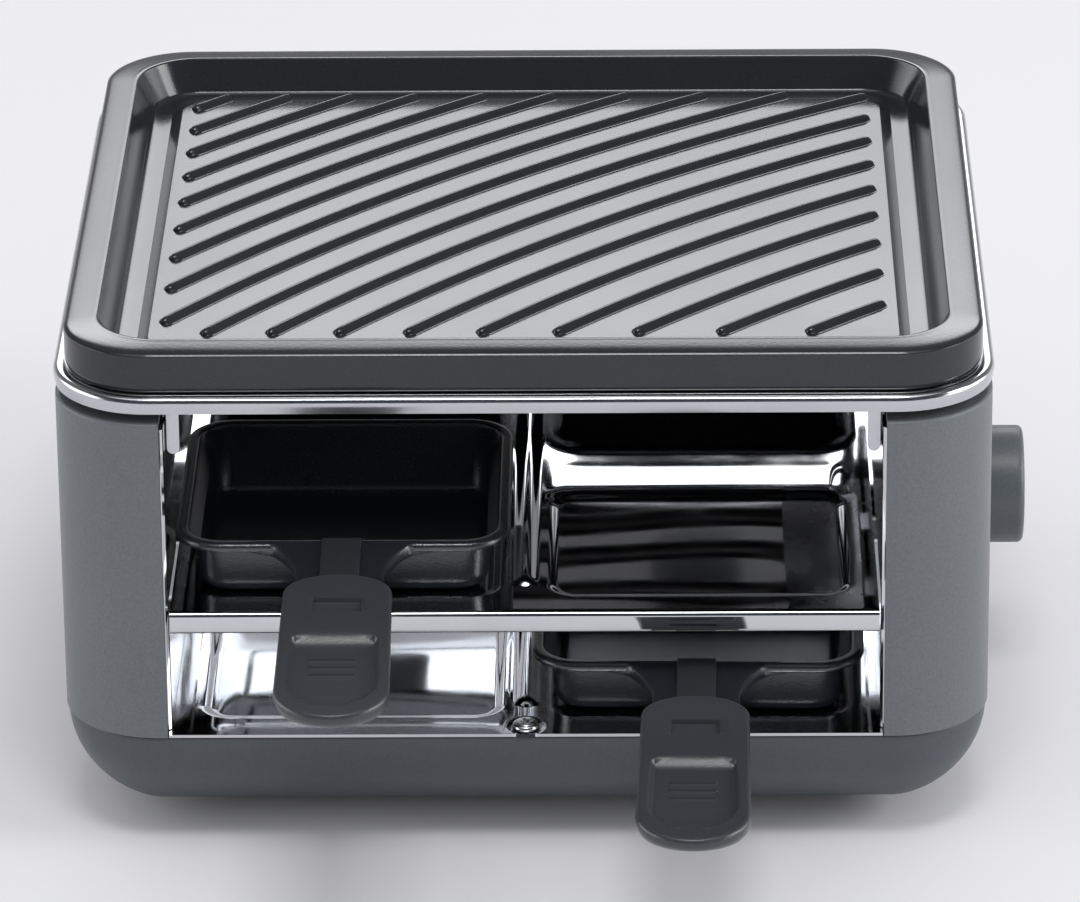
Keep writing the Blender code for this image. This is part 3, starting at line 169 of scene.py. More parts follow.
def effect(name, inputs):
    """A node group from float or colour (F, C) inputs to a surface: its inputs, its place in the object
    and its end node."""
    kinds = {"F": "NodeSocketFloat", "C": "NodeSocketColor", "V": "NodeSocketVector"}
    made = bpy.data.node_groups.new(name, "ShaderNodeTree")
    for way, sockets in (("INPUT", inputs), ("OUTPUT", SURFACE)):
        for socket, kind in sockets.items():
            made.interface.new_socket(socket, in_out=way, socket_type=kinds[kind])
    given, place = node(made, "NodeGroupInput").outputs, node(made, "ShaderNodeTexCoord").outputs["Object"]
    return made, given, place, node(made, "NodeGroupOutput")


def span(tree, value, low, high, to_low, to_high):
    """A value carried from one range to another and held at its ends."""
    inputs = {"Value": value, "From Min": low, "From Max": high, "To Min": to_low, "To Max": to_high}
    return node(tree, "ShaderNodeMapRange", inputs).outputs["Result"]


def product(tree, first, second):
    """Two values multiplied."""
    return node(tree, "ShaderNodeMath", {0: first, 1: second}, operation="MULTIPLY").outputs[0]


def noise(tree, place, scale, detail=3.0, **inputs):
    """A cloudy value over a place in the object, at one scale."""
    given = {"Vector": place, "Scale": scale, "Detail": detail} | inputs
    return node(tree, "ShaderNodeTexNoise", given).outputs["Fac"]


def scaled(tree, tone, value):
    """A colour made lighter or darker by a value."""
    return node(tree, "ShaderNodeVectorMath", {0: tone, "Scale": value}, operation="SCALE").outputs[0]


def put_out(tree, result, colour, shine, height, depth):
    """Hands an effect's colour, its roughness and the bumps of a height to its end node."""
    bumps = node(tree, "ShaderNodeBump", {"Height": height, "Distance": depth, "Strength": 1.0}).outputs[0]
    for socket, value in zip(SURFACE, (colour, shine, bumps)):
        tree.links.new(value, result.inputs[socket])


def finish(name, look, constants, **look_inputs):
    """A material: one shader with its constants on its own sockets, fed by a shared effect."""
    made = bpy.data.materials.new(name)
    made.use_nodes = True
    shader = made.node_tree.nodes["Principled BSDF"]
    for socket, value in constants.items():
        shader.inputs[socket].default_value = value
    source = node(made.node_tree, "ShaderNodeGroup", look_inputs, node_tree=look)
    for socket in source.outputs:
        made.node_tree.links.new(socket, shader.inputs[socket.name])
    return made


def dress(look, *names):
    """Gives a material to CAD solids that stay as they are."""
    for name in names:
        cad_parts[name].data.materials.clear()
        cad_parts[name].data.materials.append(look)


SURFACE = {"Base Color": "C", "Roughness": "F", "Normal": "V"}

# Moulded grain: fine pits from the mould's eroded surface, and a slow change of tone and shine.
moulded, given, place, result = effect("moulded_grain", {"Tone": "C", "Shine": "F", "Grain": "F",
                                                         "Depth": "F"})
pits, slow = noise(moulded, place, given["Grain"]), noise(moulded, place, 22.0)
tone = product(moulded, span(moulded, pits, 0.3, 0.7, 0.90, 1.10), span(moulded, slow, 0.3, 0.7, 0.95, 1.05))
shine = node(moulded, "ShaderNodeMath", {0: given["Shine"], 1: span(moulded, slow, 0.3, 0.7, -0.04, 0.04)})
put_out(moulded, result, scaled(moulded, given["Tone"], tone), shine.outputs[0], pits, given["Depth"])

base_grey = finish("base_grey", moulded, {"IOR": 1.48}, Tone=(0.064, 0.074, 0.083, 1.0), Shine=0.42,
                   Grain=1400.0, Depth=0.00004)


def tub_side(turn, wall):
    """The tub's side at one angle of its quarter oval: (inset from the body's face, height)."""
    inset = BASE_INSET + wall + BASE_ROUND_OUT * (1.0 - np.cos(turn))
    return np.stack([inset, FOOT_STAND + wall + (BASE_HEIGHT - wall) * (1.0 - np.sin(turn))], -1)


turns = np.linspace(0.5 * np.pi, 0.0, 40)
outer = tub_side(turns, 0.0)
outer[-1, 1] = SEAM_Z - BASE_EDGE
edge = [(BASE_INSET + 0.3 * BASE_EDGE, SEAM_Z - 0.3 * BASE_EDGE), (BASE_INSET + BASE_EDGE, SEAM_Z)]
inset, height = np.concatenate([outer, edge, tub_side(turns[::-1], BASE_WALL)]).T
radius = np.maximum(BODY_CORNER - inset, BASE_INNER_CORNER)
shells = [skin(rounded(HALF_WIDTH - inset, HALF_DEPTH - inset, radius, height))]
low_side = np.concatenate([[(BASE_INSET + 0.5 * BASE_WALL, SEAM_Z - GAP)],
                           tub_side(turns[::-4], 0.5 * BASE_WALL)[1:]])
rib_line = np.stack([low_side[:, 0] - HALF_DEPTH, low_side[:, 1]], -1)
rib_line = np.concatenate([rib_line, (rib_line * (-1.0, 1.0))[::-1]])
for side in (-1, 1):
    across = side * RIB_X + np.array([-RIB_HALF, RIB_HALF])[:, None] + 0.0 * rib_line[:, 0]
    shells.append(skin(np.stack([across, *(np.tile(value, (2, 1)) for value in rib_line.T)], -1)))
    low, high = SEAM_Z - BOSS_HEIGHT, SEAM_Z - GAP
    boss = [(BOSS_RADIUS, low), (BOSS_RADIUS, high), (BOSS_BORE, high), (BOSS_BORE, low)]
    shells.append(skin(turned(boss, "z", (0.0, side * SCREW_Y, 0.0), 32), True))
piece("base_tub", shells, base_grey, "housing", ["base_housing"])

# Feet: four round feet of soft black rubber with rounded edges. Each is plugged with its chamfered
# stem into a hole of the tub's floor.
FOOT_RADIUS, FOOT_EDGE, FOOT_STEM, STEM_RISE, STEM_CHAMFER = 0.008, 0.0007, 0.003, 0.0024, 0.0006
FOOT_X, FOOT_Y = 0.0675, 0.0584
SIDES_AND_ENDS = ((-1, -1), (1, -1), (-1, 1), (1, 1))
foot_rubber = finish("foot_rubber", moulded, {"IOR": 1.50}, Tone=(0.018, 0.018, 0.018, 1.0), Shine=0.75,
                     Grain=1100.0, Depth=0.00006)
foot_line = [(0.0, 0.0)]
foot_line += corner(FOOT_RADIUS, 0.0, FOOT_EDGE, -FOOT_EDGE)[::-1]
foot_line += corner(FOOT_RADIUS, FOOT_STAND - GAP, FOOT_EDGE, FOOT_EDGE)
foot_line += [(FOOT_STEM, FOOT_STAND - GAP), (FOOT_STEM, FOOT_STAND + STEM_RISE - STEM_CHAMFER),
              (FOOT_STEM - STEM_CHAMFER, FOOT_STAND + STEM_RISE), (0.0, FOOT_STAND + STEM_RISE)]
for number, (side, end) in enumerate(SIDES_AND_ENDS, 1):
    shell = skin(turned(foot_line, "z", (side * FOOT_X, end * FOOT_Y, 0.0)))
    piece(f"foot_pad_{number}", [shell], foot_rubber, "housing", [f"foot_{number}"])

# Side housings: two shells moulded in satin grey plastic, each with a rounded front and rear column
# and a roof between them. They stand on the tub's seam and are open towards the pans.
COLUMN_HEIGHT, COLUMN_INSET, COLUMN_WALL, COLUMN_EDGE = 0.0882, 0.0003, 0.0024, 0.0008
OPENING_HALF = 0.092
COLUMN_TOP, COLUMN_FOOT = SEAM_Z + COLUMN_HEIGHT, SEAM_Z + GAP
COLUMN_X, COLUMN_Y = HALF_WIDTH - COLUMN_INSET, HALF_DEPTH - COLUMN_INSET
housing_grey = finish("housing_grey", moulded, {"IOR": 1.48}, Tone=(0.125, 0.138, 0.148, 1.0), Shine=0.40,
                      Grain=1400.0, Depth=0.00004)


def column_plan(inset):
    """The plan from the front opening edge round both outer corners to the rear one, at one inset."""
    radius = BODY_CORNER - COLUMN_INSET - inset
    far_x, far_y = COLUMN_X - inset - radius, COLUMN_Y - inset - radius
    turn = np.linspace(0.0, 0.5 * np.pi, 19)
    x = np.concatenate([[OPENING_HALF], far_x + radius * np.sin(turn), [far_x + radius]])
    y = np.concatenate([[far_y + radius], far_y + radius * np.cos(turn), [far_y - LEAD]])
    return np.stack([np.append(x, x[::-1]), np.append(-y, y[::-1])], -1)


def column_shell():
    """One housing: a closed section of outer wall, edge, roof and inner wall carried along the plan."""
    wall_line = [(0.0, COLUMN_FOOT), (0.0, COLUMN_TOP - 1.75 * COLUMN_EDGE)]
    wall_line += corner(0.0, COLUMN_TOP, -COLUMN_EDGE, COLUMN_EDGE)
    plans = [(column_plan(inset), z) for inset, z in wall_line]
    inner = column_plan(COLUMN_WALL)
    roof = np.stack([np.full(len(inner), OPENING_HALF), inner[:, 1]], -1)
    plans += [(roof, COLUMN_TOP), (roof, COLUMN_TOP - COLUMN_WALL), (inner, COLUMN_TOP - COLUMN_WALL),
              (inner, COLUMN_FOOT)]
    return np.stack([np.concatenate([plan, np.full((len(plan), 1), z)], 1) for plan, z in plans], 1)


for side, name in ((-1, "left"), (1, "right")):
    shell = skin(column_shell() * (side, 1, 1))
    piece(f"column_shell_{name}", [shell], housing_grey, "housing", [f"side_housing_{name}"])

# Cable gland: a soft rubber bush with an open bore, snapped with its neck and its inner collar into
# the right housing's side, towards the rear.
GLAND_Y, GLAND_Z, GLAND_BORE, GLAND_NECK = 0.072, 0.046, 0.0034, 0.0050
GLAND_OUTER, GLAND_FLANGE, GLAND_EDGE, GLAND_LIP, GLAND_COLLAR = 0.0072, 0.0016, 0.0008, 0.0005, 0.0064
back, face = -COLUMN_WALL - GAP, GAP + GLAND_FLANGE
gland_line = [(GLAND_BORE, back - GLAND_FLANGE), (GLAND_BORE, face - 0.8 * GLAND_LIP),
              (GLAND_BORE + 0.2 * GLAND_LIP, face - 0.2 * GLAND_LIP), (GLAND_BORE + GLAND_LIP, face)]
gland_line += corner(GLAND_OUTER, face, GLAND_EDGE, GLAND_EDGE)[::-1]
gland_line += [(GLAND_OUTER, GAP), (GLAND_NECK, GAP), (GLAND_NECK, back), (GLAND_COLLAR, back),
               (GLAND_COLLAR, back - GLAND_FLANGE)]
shell = skin(turned(gland_line, "x", (COLUMN_X, GLAND_Y, GLAND_Z)), True)
piece("gland_bush", [shell], foot_rubber, "housing", ["cable_gland"])

# Inner walls: two polished steel sheets that line the opening. They stand on the tray's edge behind
# the columns and are bent over at the top, where they carry the frame.

# Polish: a mirror with a faint waviness from pressing, light smudges, and hardly any tint.
polish, given, place, result = effect("sheet_polish", {"Tone": "C", "Shine": "F", "Smudge": "F", "Wave": "F"})
smudge = noise(polish, place, 55.0, 5.0, Roughness=0.6)
tone = scaled(polish, given["Tone"], span(polish, smudge, 0.4, 0.7, 1.0, 0.95))
cloud = product(polish, span(polish, smudge, 0.45, 0.75, 0.0, 1.0), given["Smudge"])
shine = node(polish, "ShaderNodeMath", {0: given["Shine"], 1: cloud})
put_out(polish, result, tone, shine.outputs[0], noise(polish, place, 16.0, 1.0), given["Wave"])

mirror_steel = finish("mirror_steel", polish, {"Metallic": 1.0}, Tone=(0.60, 0.61, 0.625, 1.0), Shine=0.035,
                      Smudge=0.05, Wave=0.0002)
dress(mirror_steel, "inner_wall_left", "inner_wall_right")

# Lower tray: a sheet of polished steel with four shallow recesses and a bead along its middle.
# It lies on the tub and its two ends are dished for the screws.
SHEET = 0.0008
TRAY_TOP = SEAM_Z + GAP + SHEET
TRAY_Y, TRAY_X = HALF_DEPTH - 0.0005, OPENING_HALF - GAP
RECESS_X_IN, RECESS_X_OUT, RECESS_Y_IN, RECESS_Y_OUT = 0.0055, 0.0842, 0.0362, 0.1004
RECESS_CORNER, RECESS_DEPTH, RECESS_SLOPE, RECESS_DOME = 0.008, 0.0010, 0.0030, 0.00026
BEAD_HALF, BEAD_HEIGHT, BEAD_LENGTH, BEAD_NOSE = 0.0038, 0.0015, 0.0935, 0.0030
SEAT_RADIUS, SEAT_DEPTH, SEAT_SLOPE = 0.0052, 0.0005, 0.0012
BORDER_START = 0.0150


def eased(share):
    """A soft step from 0 to 1 with level ends."""
    share = np.clip(share, 0.0, 1.0)
    return share * share * (3.0 - 2.0 * share)


def recess_drop(x, y):
    """Depth of the recesses: a soft slope that starts at the outline of a rounded rectangle, and a floor
    that rises a little to its middle."""
    past, dome = [], RECESS_DOME
    for place, start, end in ((x, RECESS_X_IN, RECESS_X_OUT), (y, RECESS_Y_IN, RECESS_Y_OUT)):
        half = 0.5 * (end - start)
        off = np.abs(np.abs(place) - start - half)
        past.append(off - (half - RECESS_CORNER))
        dome = dome * np.clip(1.0 - (off / half) ** 2, 0.0, 1.0)
    outside = np.hypot(np.maximum(past[0], 0.0), np.maximum(past[1], 0.0))
    outside = outside + np.minimum(np.maximum(*past), 0.0) - RECESS_CORNER
    return RECESS_DEPTH * eased(-outside / RECESS_SLOPE) - dome


def bead_rise(x, y):
    """Height of the bead: a cosine arch across, with a short rounded nose at both ends."""
    arch = 0.5 + 0.5 * np.cos(np.pi * np.clip(np.abs(x) / BEAD_HALF, 0.0, 1.0))
    nose = np.sqrt(1.0 - (1.0 - np.clip((BEAD_LENGTH - np.abs(y)) / BEAD_NOSE, 0.0, 1.0)) ** 2)
    return BEAD_HEIGHT * arch * nose


def seat_drop(x, y):
    """Depth of the dish round each screw: a soft step inside a circle."""
    return SEAT_DEPTH * eased((SEAT_RADIUS - np.hypot(x, np.abs(y) - SCREW_Y)) / SEAT_SLOPE)


def steps_between(stops, counts):
    """Places from each stop on towards the next one, in as many steps as its count says."""
    return np.concatenate([start + (stop - start) * np.arange(count) / count
                           for start, stop, count in zip(stops, stops[1:], counts)])


def lines(*stops):
    """Mesh lines from stop to stop, each with its number of steps to the next, mirrored about zero."""
    half = np.append(steps_between(*zip(*stops)), stops[-1][0])
    return np.concatenate([-half[:0:-1], half])


def slab(upper, lower):
    """A closed sheet between two grids of the same size, with a narrow wall round their edge."""
    rows, cols = upper.shape[:2]
    index = np.arange(rows * cols).reshape(rows, cols)
    rim = np.concatenate([index[0, :-1], index[:-1, -1], index[-1, :0:-1], index[:0:-1, 0]])
    after, count = np.roll(rim, -1), rows * cols
    face = quads(rows, cols, False, False)
    wall = np.stack([rim, after, after + count, rim + count], 1)
    points = np.concatenate([upper.reshape(-1, 3), lower.reshape(-1, 3)])
    return points, [face, face[:, ::-1] + count, wall]


def pressed_sheet(columns, path, top, *drops):
    """A pressed sheet: a middle surface from a path along Y, its bead and its drops, and a face half a
    thickness off it on each side, along the surface's own normal."""
    x, y = np.meshgrid(columns, path[:, 0])
    z = top - 0.5 * SHEET - path[:, 1:] + bead_rise(x, y) - recess_drop(x, y)
    for drop in drops:
        z = z - drop(x, y)
    middle = np.stack([x, y, z], -1)
    normal = np.cross(np.gradient(middle, axis=1), np.gradient(middle, axis=0))
    normal *= 0.5 * SHEET / np.linalg.norm(normal, axis=-1, keepdims=True)
    return slab(middle + normal, middle - normal)


SHEET_STOPS = ((0.0, 10), (BEAD_HALF, 3), (RECESS_X_IN, 16), (RECESS_X_IN + RECESS_CORNER, 14),
               (RECESS_X_OUT - RECESS_CORNER, 16), (RECESS_X_OUT, 4))
ROW_STOPS = ((0.0, 4), (BORDER_START, 8), (RECESS_Y_IN, 16), (RECESS_Y_IN + RECESS_CORNER, 10),
             (RECESS_Y_OUT - 0.0105, 24))
rows = lines(*ROW_STOPS, (RECESS_Y_OUT, 12), (TRAY_Y, 1))
tray = pressed_sheet(lines(*SHEET_STOPS, (TRAY_X, 1)), np.stack([rows, 0.0 * rows], -1), TRAY_TOP, seat_drop)
piece("tray_sheet", [tray], mirror_steel, "housing", ["lower_tray"])

# Tray screws: two plated steel screws with domed heads and a pressed crossed recess. They sit in the
# tray's dished ends and are driven into the tub's bosses.
SCREW_RADIUS, SCREW_REACH, SCREW_POINT = 0.0015, 0.0052, 0.0007
HEAD_RADIUS, HEAD_HEIGHT, HEAD_SIDE, HEAD_FACE, HEAD_DOME = 0.0035, 0.0016, 0.0003, 0.0024, 0.04 / 0.0026
CROSS_WIDTH, CROSS_REACH, CROSS_DEPTH, CROSS_TURN = 0.00042, 0.0017, 0.0008, math.radians(22.0)
plated_steel = finish("plated_steel", polish, {"Metallic": 1.0}, Tone=(0.66, 0.67, 0.69, 1.0), Shine=0.16,
                      Smudge=0.15, Wave=0.00003)
seat = TRAY_TOP + GAP - SEAT_DEPTH
head_line = [(0.0, SEAM_Z - SCREW_REACH), (SCREW_RADIUS, SEAM_Z - SCREW_REACH + SCREW_POINT),
             (SCREW_RADIUS, seat), (HEAD_RADIUS, seat)]
head_line += corner(HEAD_RADIUS, seat + HEAD_SIDE + 0.0010, 0.0009, 0.0010)
head_line += [(radius, seat + HEAD_HEIGHT - HEAD_DOME * (radius + 0.0001) ** 2)
              for radius in np.linspace(HEAD_FACE, 0.0, 17)]
for end, name in ((-1, "front"), (1, "rear")):
    head = turned(head_line, "z", (0.0, 0.0, 0.0), 96)
    x, y = head[..., 0], head[..., 1]
    narrow, far = np.minimum(np.abs(x), np.abs(y)), np.maximum(np.abs(x), np.abs(y))
    sunk = eased((CROSS_WIDTH - narrow) / 0.00025 + 0.5) * eased((CROSS_REACH - far) / 0.0004)
    head[..., 2] -= np.where(head[..., 2] > seat + 0.5 * HEAD_HEIGHT, CROSS_DEPTH * sunk, 0.0)
    head = np.stack([x * math.cos(CROSS_TURN) - y * math.sin(CROSS_TURN),
                     x * math.sin(CROSS_TURN) + y * math.cos(CROSS_TURN) + end * SCREW_Y, head[..., 2]], -1)
    piece(f"screw_{name}", [skin(head)], plated_steel, "housing", [f"tray_screw_{name}"])

# Middle shelf: the same pressed sheet with a rolled lip in front and behind. Four hooks at its sides
# sit in slots of the inner walls.
SHELF_TOP, SHELF_LIP, SHELF_BEND, SHELF_HEM = 0.0683, 0.0060, 0.0010, 0.0009
SHELF_X, SHELF_Y = 0.0906, HALF_DEPTH - 0.0007 - 0.5 * SHEET
HOOK_Y, HOOK_HALF, HOOK_X_IN, HOOK_X_OUT, HOOK_RISE = 0.060, 0.006, 0.0876, 0.0940, 0.00035
BORDER_RUN, BORDER_END, BORDER_FALL, BORDER_RISE, BORDER_FADE = 0.0200, 0.0395, 0.0035, 0.0007, 0.006
lip_turn = np.linspace(0.0, 0.5 * np.pi, 8)[1:]
hem_turn = np.linspace(0.0, 0.94 * np.pi, 14)
hem_z = SHELF_LIP - SHEET - SHELF_HEM
lip_y = np.concatenate([SHELF_Y - SHELF_BEND + SHELF_BEND * np.sin(lip_turn),
                        SHELF_Y - SHELF_HEM + SHELF_HEM * np.cos(hem_turn)])
lip_drop = np.concatenate([SHELF_BEND * (1.0 - np.cos(lip_turn)), hem_z + SHELF_HEM * np.sin(hem_turn)])
lip = np.stack([lip_y, lip_drop], -1)


def border_drop(x, y):
    """The shelf rises a little from its middle towards the recesses, so this drop is below zero."""
    x, y = np.abs(x), np.abs(y)
    rise = np.minimum((y - BORDER_START) / BORDER_RUN, (BORDER_END - y) / BORDER_FALL)
    within = eased((x - BEAD_HALF) / BORDER_FADE) * eased((RECESS_X_OUT + 0.001 - x) / BORDER_FADE)
    return -BORDER_RISE * np.clip(rise, 0.0, 1.0) * within


rows = lines(*ROW_STOPS, (RECESS_Y_OUT, 9), (SHELF_Y - SHELF_BEND, 1))
rows = np.stack([rows, 0.0 * rows], -1)
path = np.concatenate([lip[::-1] * (-1.0, 1.0), rows, lip])
shells = [pressed_sheet(lines(*SHEET_STOPS, (SHELF_X, 1)), path, SHELF_TOP, border_drop)]
for side, end in SIDES_AND_ENDS:
    low, high = sorted((side * HOOK_X_IN, side * HOOK_X_OUT))
    shells.append(bar((low, end * HOOK_Y - HOOK_HALF, SHELF_TOP - 0.5 * SHEET - HOOK_RISE),
                      (high, end * HOOK_Y + HOOK_HALF, SHELF_TOP - 0.5 * SHEET + HOOK_RISE)))
piece("shelf_sheet", shells, mirror_steel, "housing", ["middle_shelf"])

# Element brackets: two angled sheets of plain steel, bent and hooked into the inner walls. They carry
# the heating tube's bends.
sheet_steel = finish("sheet_steel", polish, {"Metallic": 1.0}, Tone=(0.26, 0.26, 0.27, 1.0), Shine=0.26,
                     Smudge=0.12, Wave=0.0001)
dress(sheet_steel, "element_bracket_left", "element_bracket_right")

# Heating element: one bent tube of four waved passes, darkened by heat. Its bends lie on the
# brackets and both ends pass through the right wall.
TUBE_RADIUS, TUBE_Z = 0.00315, 0.1073
PASS_END, PASS_LEFT, PASS_RIGHT, WAVE_END, WAVE_LENGTH = 0.099, -0.066, 0.062, 0.085, 0.104
OUTER_PASS, OUTER_WAVE, INNER_PASS, INNER_WAVE = 0.0335, 0.0090, 0.0116, 0.0045
tube_dark = finish("tube_dark", moulded, {"Metallic": 0.85}, Tone=(0.085, 0.083, 0.085, 1.0), Shine=0.42,
                   Grain=420.0, Depth=0.00003)


def waved(x, level, wave):
    """Points of a pass along x: its distance from the middle is a level plus a squared sine wave."""
    return np.stack([x, level + wave * np.sin(np.pi * np.minimum(x, WAVE_END) / WAVE_LENGTH) ** 2], -1)


def bend(x, first, last, way):
    """Half a circle between two passes, without its end points."""
    turn = np.linspace(0.0, np.pi, 22)[1:-1]
    middle, radius = 0.5 * (first + last), 0.5 * (first - last)
    return np.stack([x + way * abs(radius) * np.sin(turn), middle + radius * np.cos(turn)], -1)


far = waved(np.append(PASS_END, np.linspace(WAVE_END, PASS_LEFT, 70)), OUTER_PASS, OUTER_WAVE)
near = waved(np.linspace(PASS_LEFT, PASS_RIGHT, 60), INNER_PASS, INNER_WAVE)
half = np.concatenate([far, bend(PASS_LEFT, far[-1, 1], near[0, 1], -1), near])
path = np.concatenate([half, bend(PASS_RIGHT, near[-1, 1], -near[-1, 1], 1), (half * (1.0, -1.0))[::-1]])
along = np.gradient(path, axis=0)
along /= np.linalg.norm(along, axis=1, keepdims=True)
turn = 2.0 * np.pi * np.arange(20) / 20
out = TUBE_RADIUS * np.cos(turn)
tube = np.stack([path[:, :1] - along[:, 1:] * out, path[:, 1:] + along[:, :1] * out,
                 np.tile(TUBE_Z + TUBE_RADIUS * np.sin(turn), (len(path), 1))], -1)
piece("element_tube", [skin(tube)], tube_dark, "housing", ["heating_element"])

# Top frame: a ring of bright steel. Its band stands all round below the plate, its flat edge carries
# the plate, and four round-ended tabs hang down inside the inner walls.
BAND_Z, BAND_TOP, BAND_SHEET, BAND_EDGE, FRAME_SHEET = 0.1238, 0.1283, 0.0012, 0.0016, 0.0010
GROOVE_FALL, GROOVE_WIDTH, GROOVE_DEPTH = 0.0013, 0.0018, 0.00034
HOLE_X, HOLE_Y, HOLE_CORNER = 0.088, 0.097, 0.010
TAB_X, TAB_HALF, TAB_SHEET, TAB_LENGTH, TAB_ROOT = 0.0891, 0.0016, 0.0009, 0.019, 0.0004
band_steel = finish("band_steel", polish, {"Metallic": 1.0}, Tone=(0.54, 0.55, 0.57, 1.0), Shine=0.17,
                    Smudge=0.08, Wave=0.00008)
band_line = [(BAND_SHEET, BAND_Z), (0.7 * BAND_SHEET, BAND_Z - 0.0001), (0.0004, BAND_Z + 0.0001),
             (0.0003, BAND_Z + 0.0006), (0.0001, BAND_TOP - 1.7 * BAND_EDGE)]
band_line += corner(0.0, BAND_TOP, -BAND_EDGE, BAND_EDGE, QUARTER[::2])
band_line += [(BAND_EDGE + GROOVE_FALL, BAND_TOP - GROOVE_DEPTH), (BAND_EDGE + GROOVE_WIDTH, BAND_TOP)]
inset, height = np.array(band_line).T
band = rounded(HALF_WIDTH - inset, HALF_DEPTH - inset, BODY_CORNER - inset, height, steps=20)
hole = rounded(HOLE_X, HOLE_Y, HOLE_CORNER, [BAND_TOP, BAND_TOP - FRAME_SHEET], steps=20)
under = rounded(HALF_WIDTH - BAND_SHEET, HALF_DEPTH - BAND_SHEET, BODY_CORNER - BAND_SHEET,
                BAND_TOP - FRAME_SHEET, steps=20)
shells = [skin(np.concatenate([band, hole, under]), True)]
turn = np.linspace(0.0, np.pi, 17)
tab_x = np.concatenate([[-TAB_HALF], -TAB_HALF * np.cos(turn), [TAB_HALF]])
tab_z = BAND_TOP - np.concatenate([[TAB_ROOT], TAB_LENGTH + TAB_HALF * np.sin(turn), [TAB_ROOT]])
for side, end in SIDES_AND_ENDS:
    y = end * (HOLE_Y + TAB_SHEET) + 0.5 * TAB_SHEET * np.array([-1.0, 1.0])[:, None]
    shells.append(skin(np.stack([side * TAB_X + tab_x + 0.0 * y, y + 0.0 * tab_x, tab_z + 0.0 * y], -1)))
piece("band_frame", shells, band_steel, "housing", ["top_frame"])

# Grill plate: loose cast aluminium under a dark semi-gloss non-stick coat. A broad rim, a gutter and
# a field of curved slanting ribs; its skirt sits in the frame's hole.
PLATE_Z, PLATE_X, PLATE_Y, PLATE_CORNER = 0.1286, 0.1170, 0.1079, 0.0226
RIM_TOP, SIDE_TOP, CREST, CREST_EDGE, WALL_FOOT = 0.0114, 0.0101, 0.0080, 0.0010, 0.0128
GUTTER_IN, FIELD_INSET, GUTTER_FLOOR, FIELD_FLOOR = 0.0178, 0.0212, 0.0023, 0.0037
RING_X, RING_Y, RING, RING_PITCH = 0.4350, -0.4457, 0.6336, 0.0134
FIELD_X, FIELD_FAR, FIELD_NEAR = 0.0930, 0.0893, 0.0795
RIDGE_HALF, RIDGE_HEIGHT, RIDGE_TIP, RIDGE_SHORTEST, RIDGE_STEP = 0.0024, 0.0016, 0.0024, 0.009, 0.006
SKIRT_GAP, SKIRT_WALL, SKIRT_DROP = 0.0006, 0.0025, 0.0024
UNDER_IN, UNDER_OUT, UNDER_RISE, UNDER_SLOPE = 0.0085, 0.0032, 0.0083, 0.0005

# Coat: sprayed non-stick coat with a fine orange peel and pale mineral specks.
coat, given, place, result = effect("sprayed_coat", {"Tone": "C", "Speck": "C", "Shine": "F", "Grain": "F",
                                                     "Depth": "F", "Specks": "F"})
peel, slow = noise(coat, place, given["Grain"], 2.0), noise(coat, place, 18.0)
cells = node(coat, "ShaderNodeTexVoronoi", {"Vector": place, "Scale": 1500.0}).outputs["Distance"]
fleck = product(coat, span(coat, cells, 0.10, 0.30, 1.0, 0.0), span(coat, peel, 0.45, 0.60, 0.0, 1.0))
ground = scaled(coat, given["Tone"], span(coat, slow, 0.3, 0.7, 0.92, 1.08))
shade = node(coat, "ShaderNodeMix", {0: product(coat, fleck, given["Specks"]), 6: ground, 7: given["Speck"]},
             data_type="RGBA")
shine = node(coat, "ShaderNodeMath", {0: given["Shine"], 1: span(coat, slow, 0.3, 0.7, -0.03, 0.03)})
put_out(coat, result, shade.outputs[2], shine.outputs[0], peel, given["Depth"])

plate_coat = finish("plate_coat", coat, {"IOR": 1.50, "Specular IOR Level": 0.50},
                    Tone=(0.018, 0.020, 0.024, 1.0), Speck=(0.12, 0.125, 0.13, 1.0), Shine=0.15,
                    Grain=1300.0, Depth=0.000015, Specks=0.20)


def flowing(points, steps=6):
    """A smooth curve through points, a cubic in each span that heads along its neighbours' line."""
    p = np.asarray(points, float)
    p = np.concatenate([2.0 * p[:1] - p[1:2], p, 2.0 * p[-1:] - p[-2:-1]])
    a, b, c, d = p[:-3], p[1:-2], p[2:-1], p[3:]
    t = (np.arange(steps) / steps)[:, None, None]
    curve = b + 0.5 * t * (c - a + t * (2.0 * a - 5.0 * b + 4.0 * c - d + t * (3.0 * (b - c) + d - a)))
    return np.concatenate([curve.transpose(1, 0, 2).reshape(-1, p.shape[1]), p[-2:-1]])


def plate_level(line):
    """Rings of the plate from (inset, height) pairs: the corner radius shrinks by 0.7 of the inset."""
    inset, height = np.asarray(line, float).T
    radius = np.maximum(PLATE_CORNER - 0.7 * inset, 0.006)
    return rounded(PLATE_X - inset, PLATE_Y - inset, radius, PLATE_Z + height, steps=24)


def plate_skirt(inset, height):
    """One ring of the skirt that drops into the frame's hole."""
    return rounded(HOLE_X - SKIRT_GAP - inset, HOLE_Y - SKIRT_GAP - inset, HOLE_CORNER - inset,
                   PLATE_Z + height, steps=24)


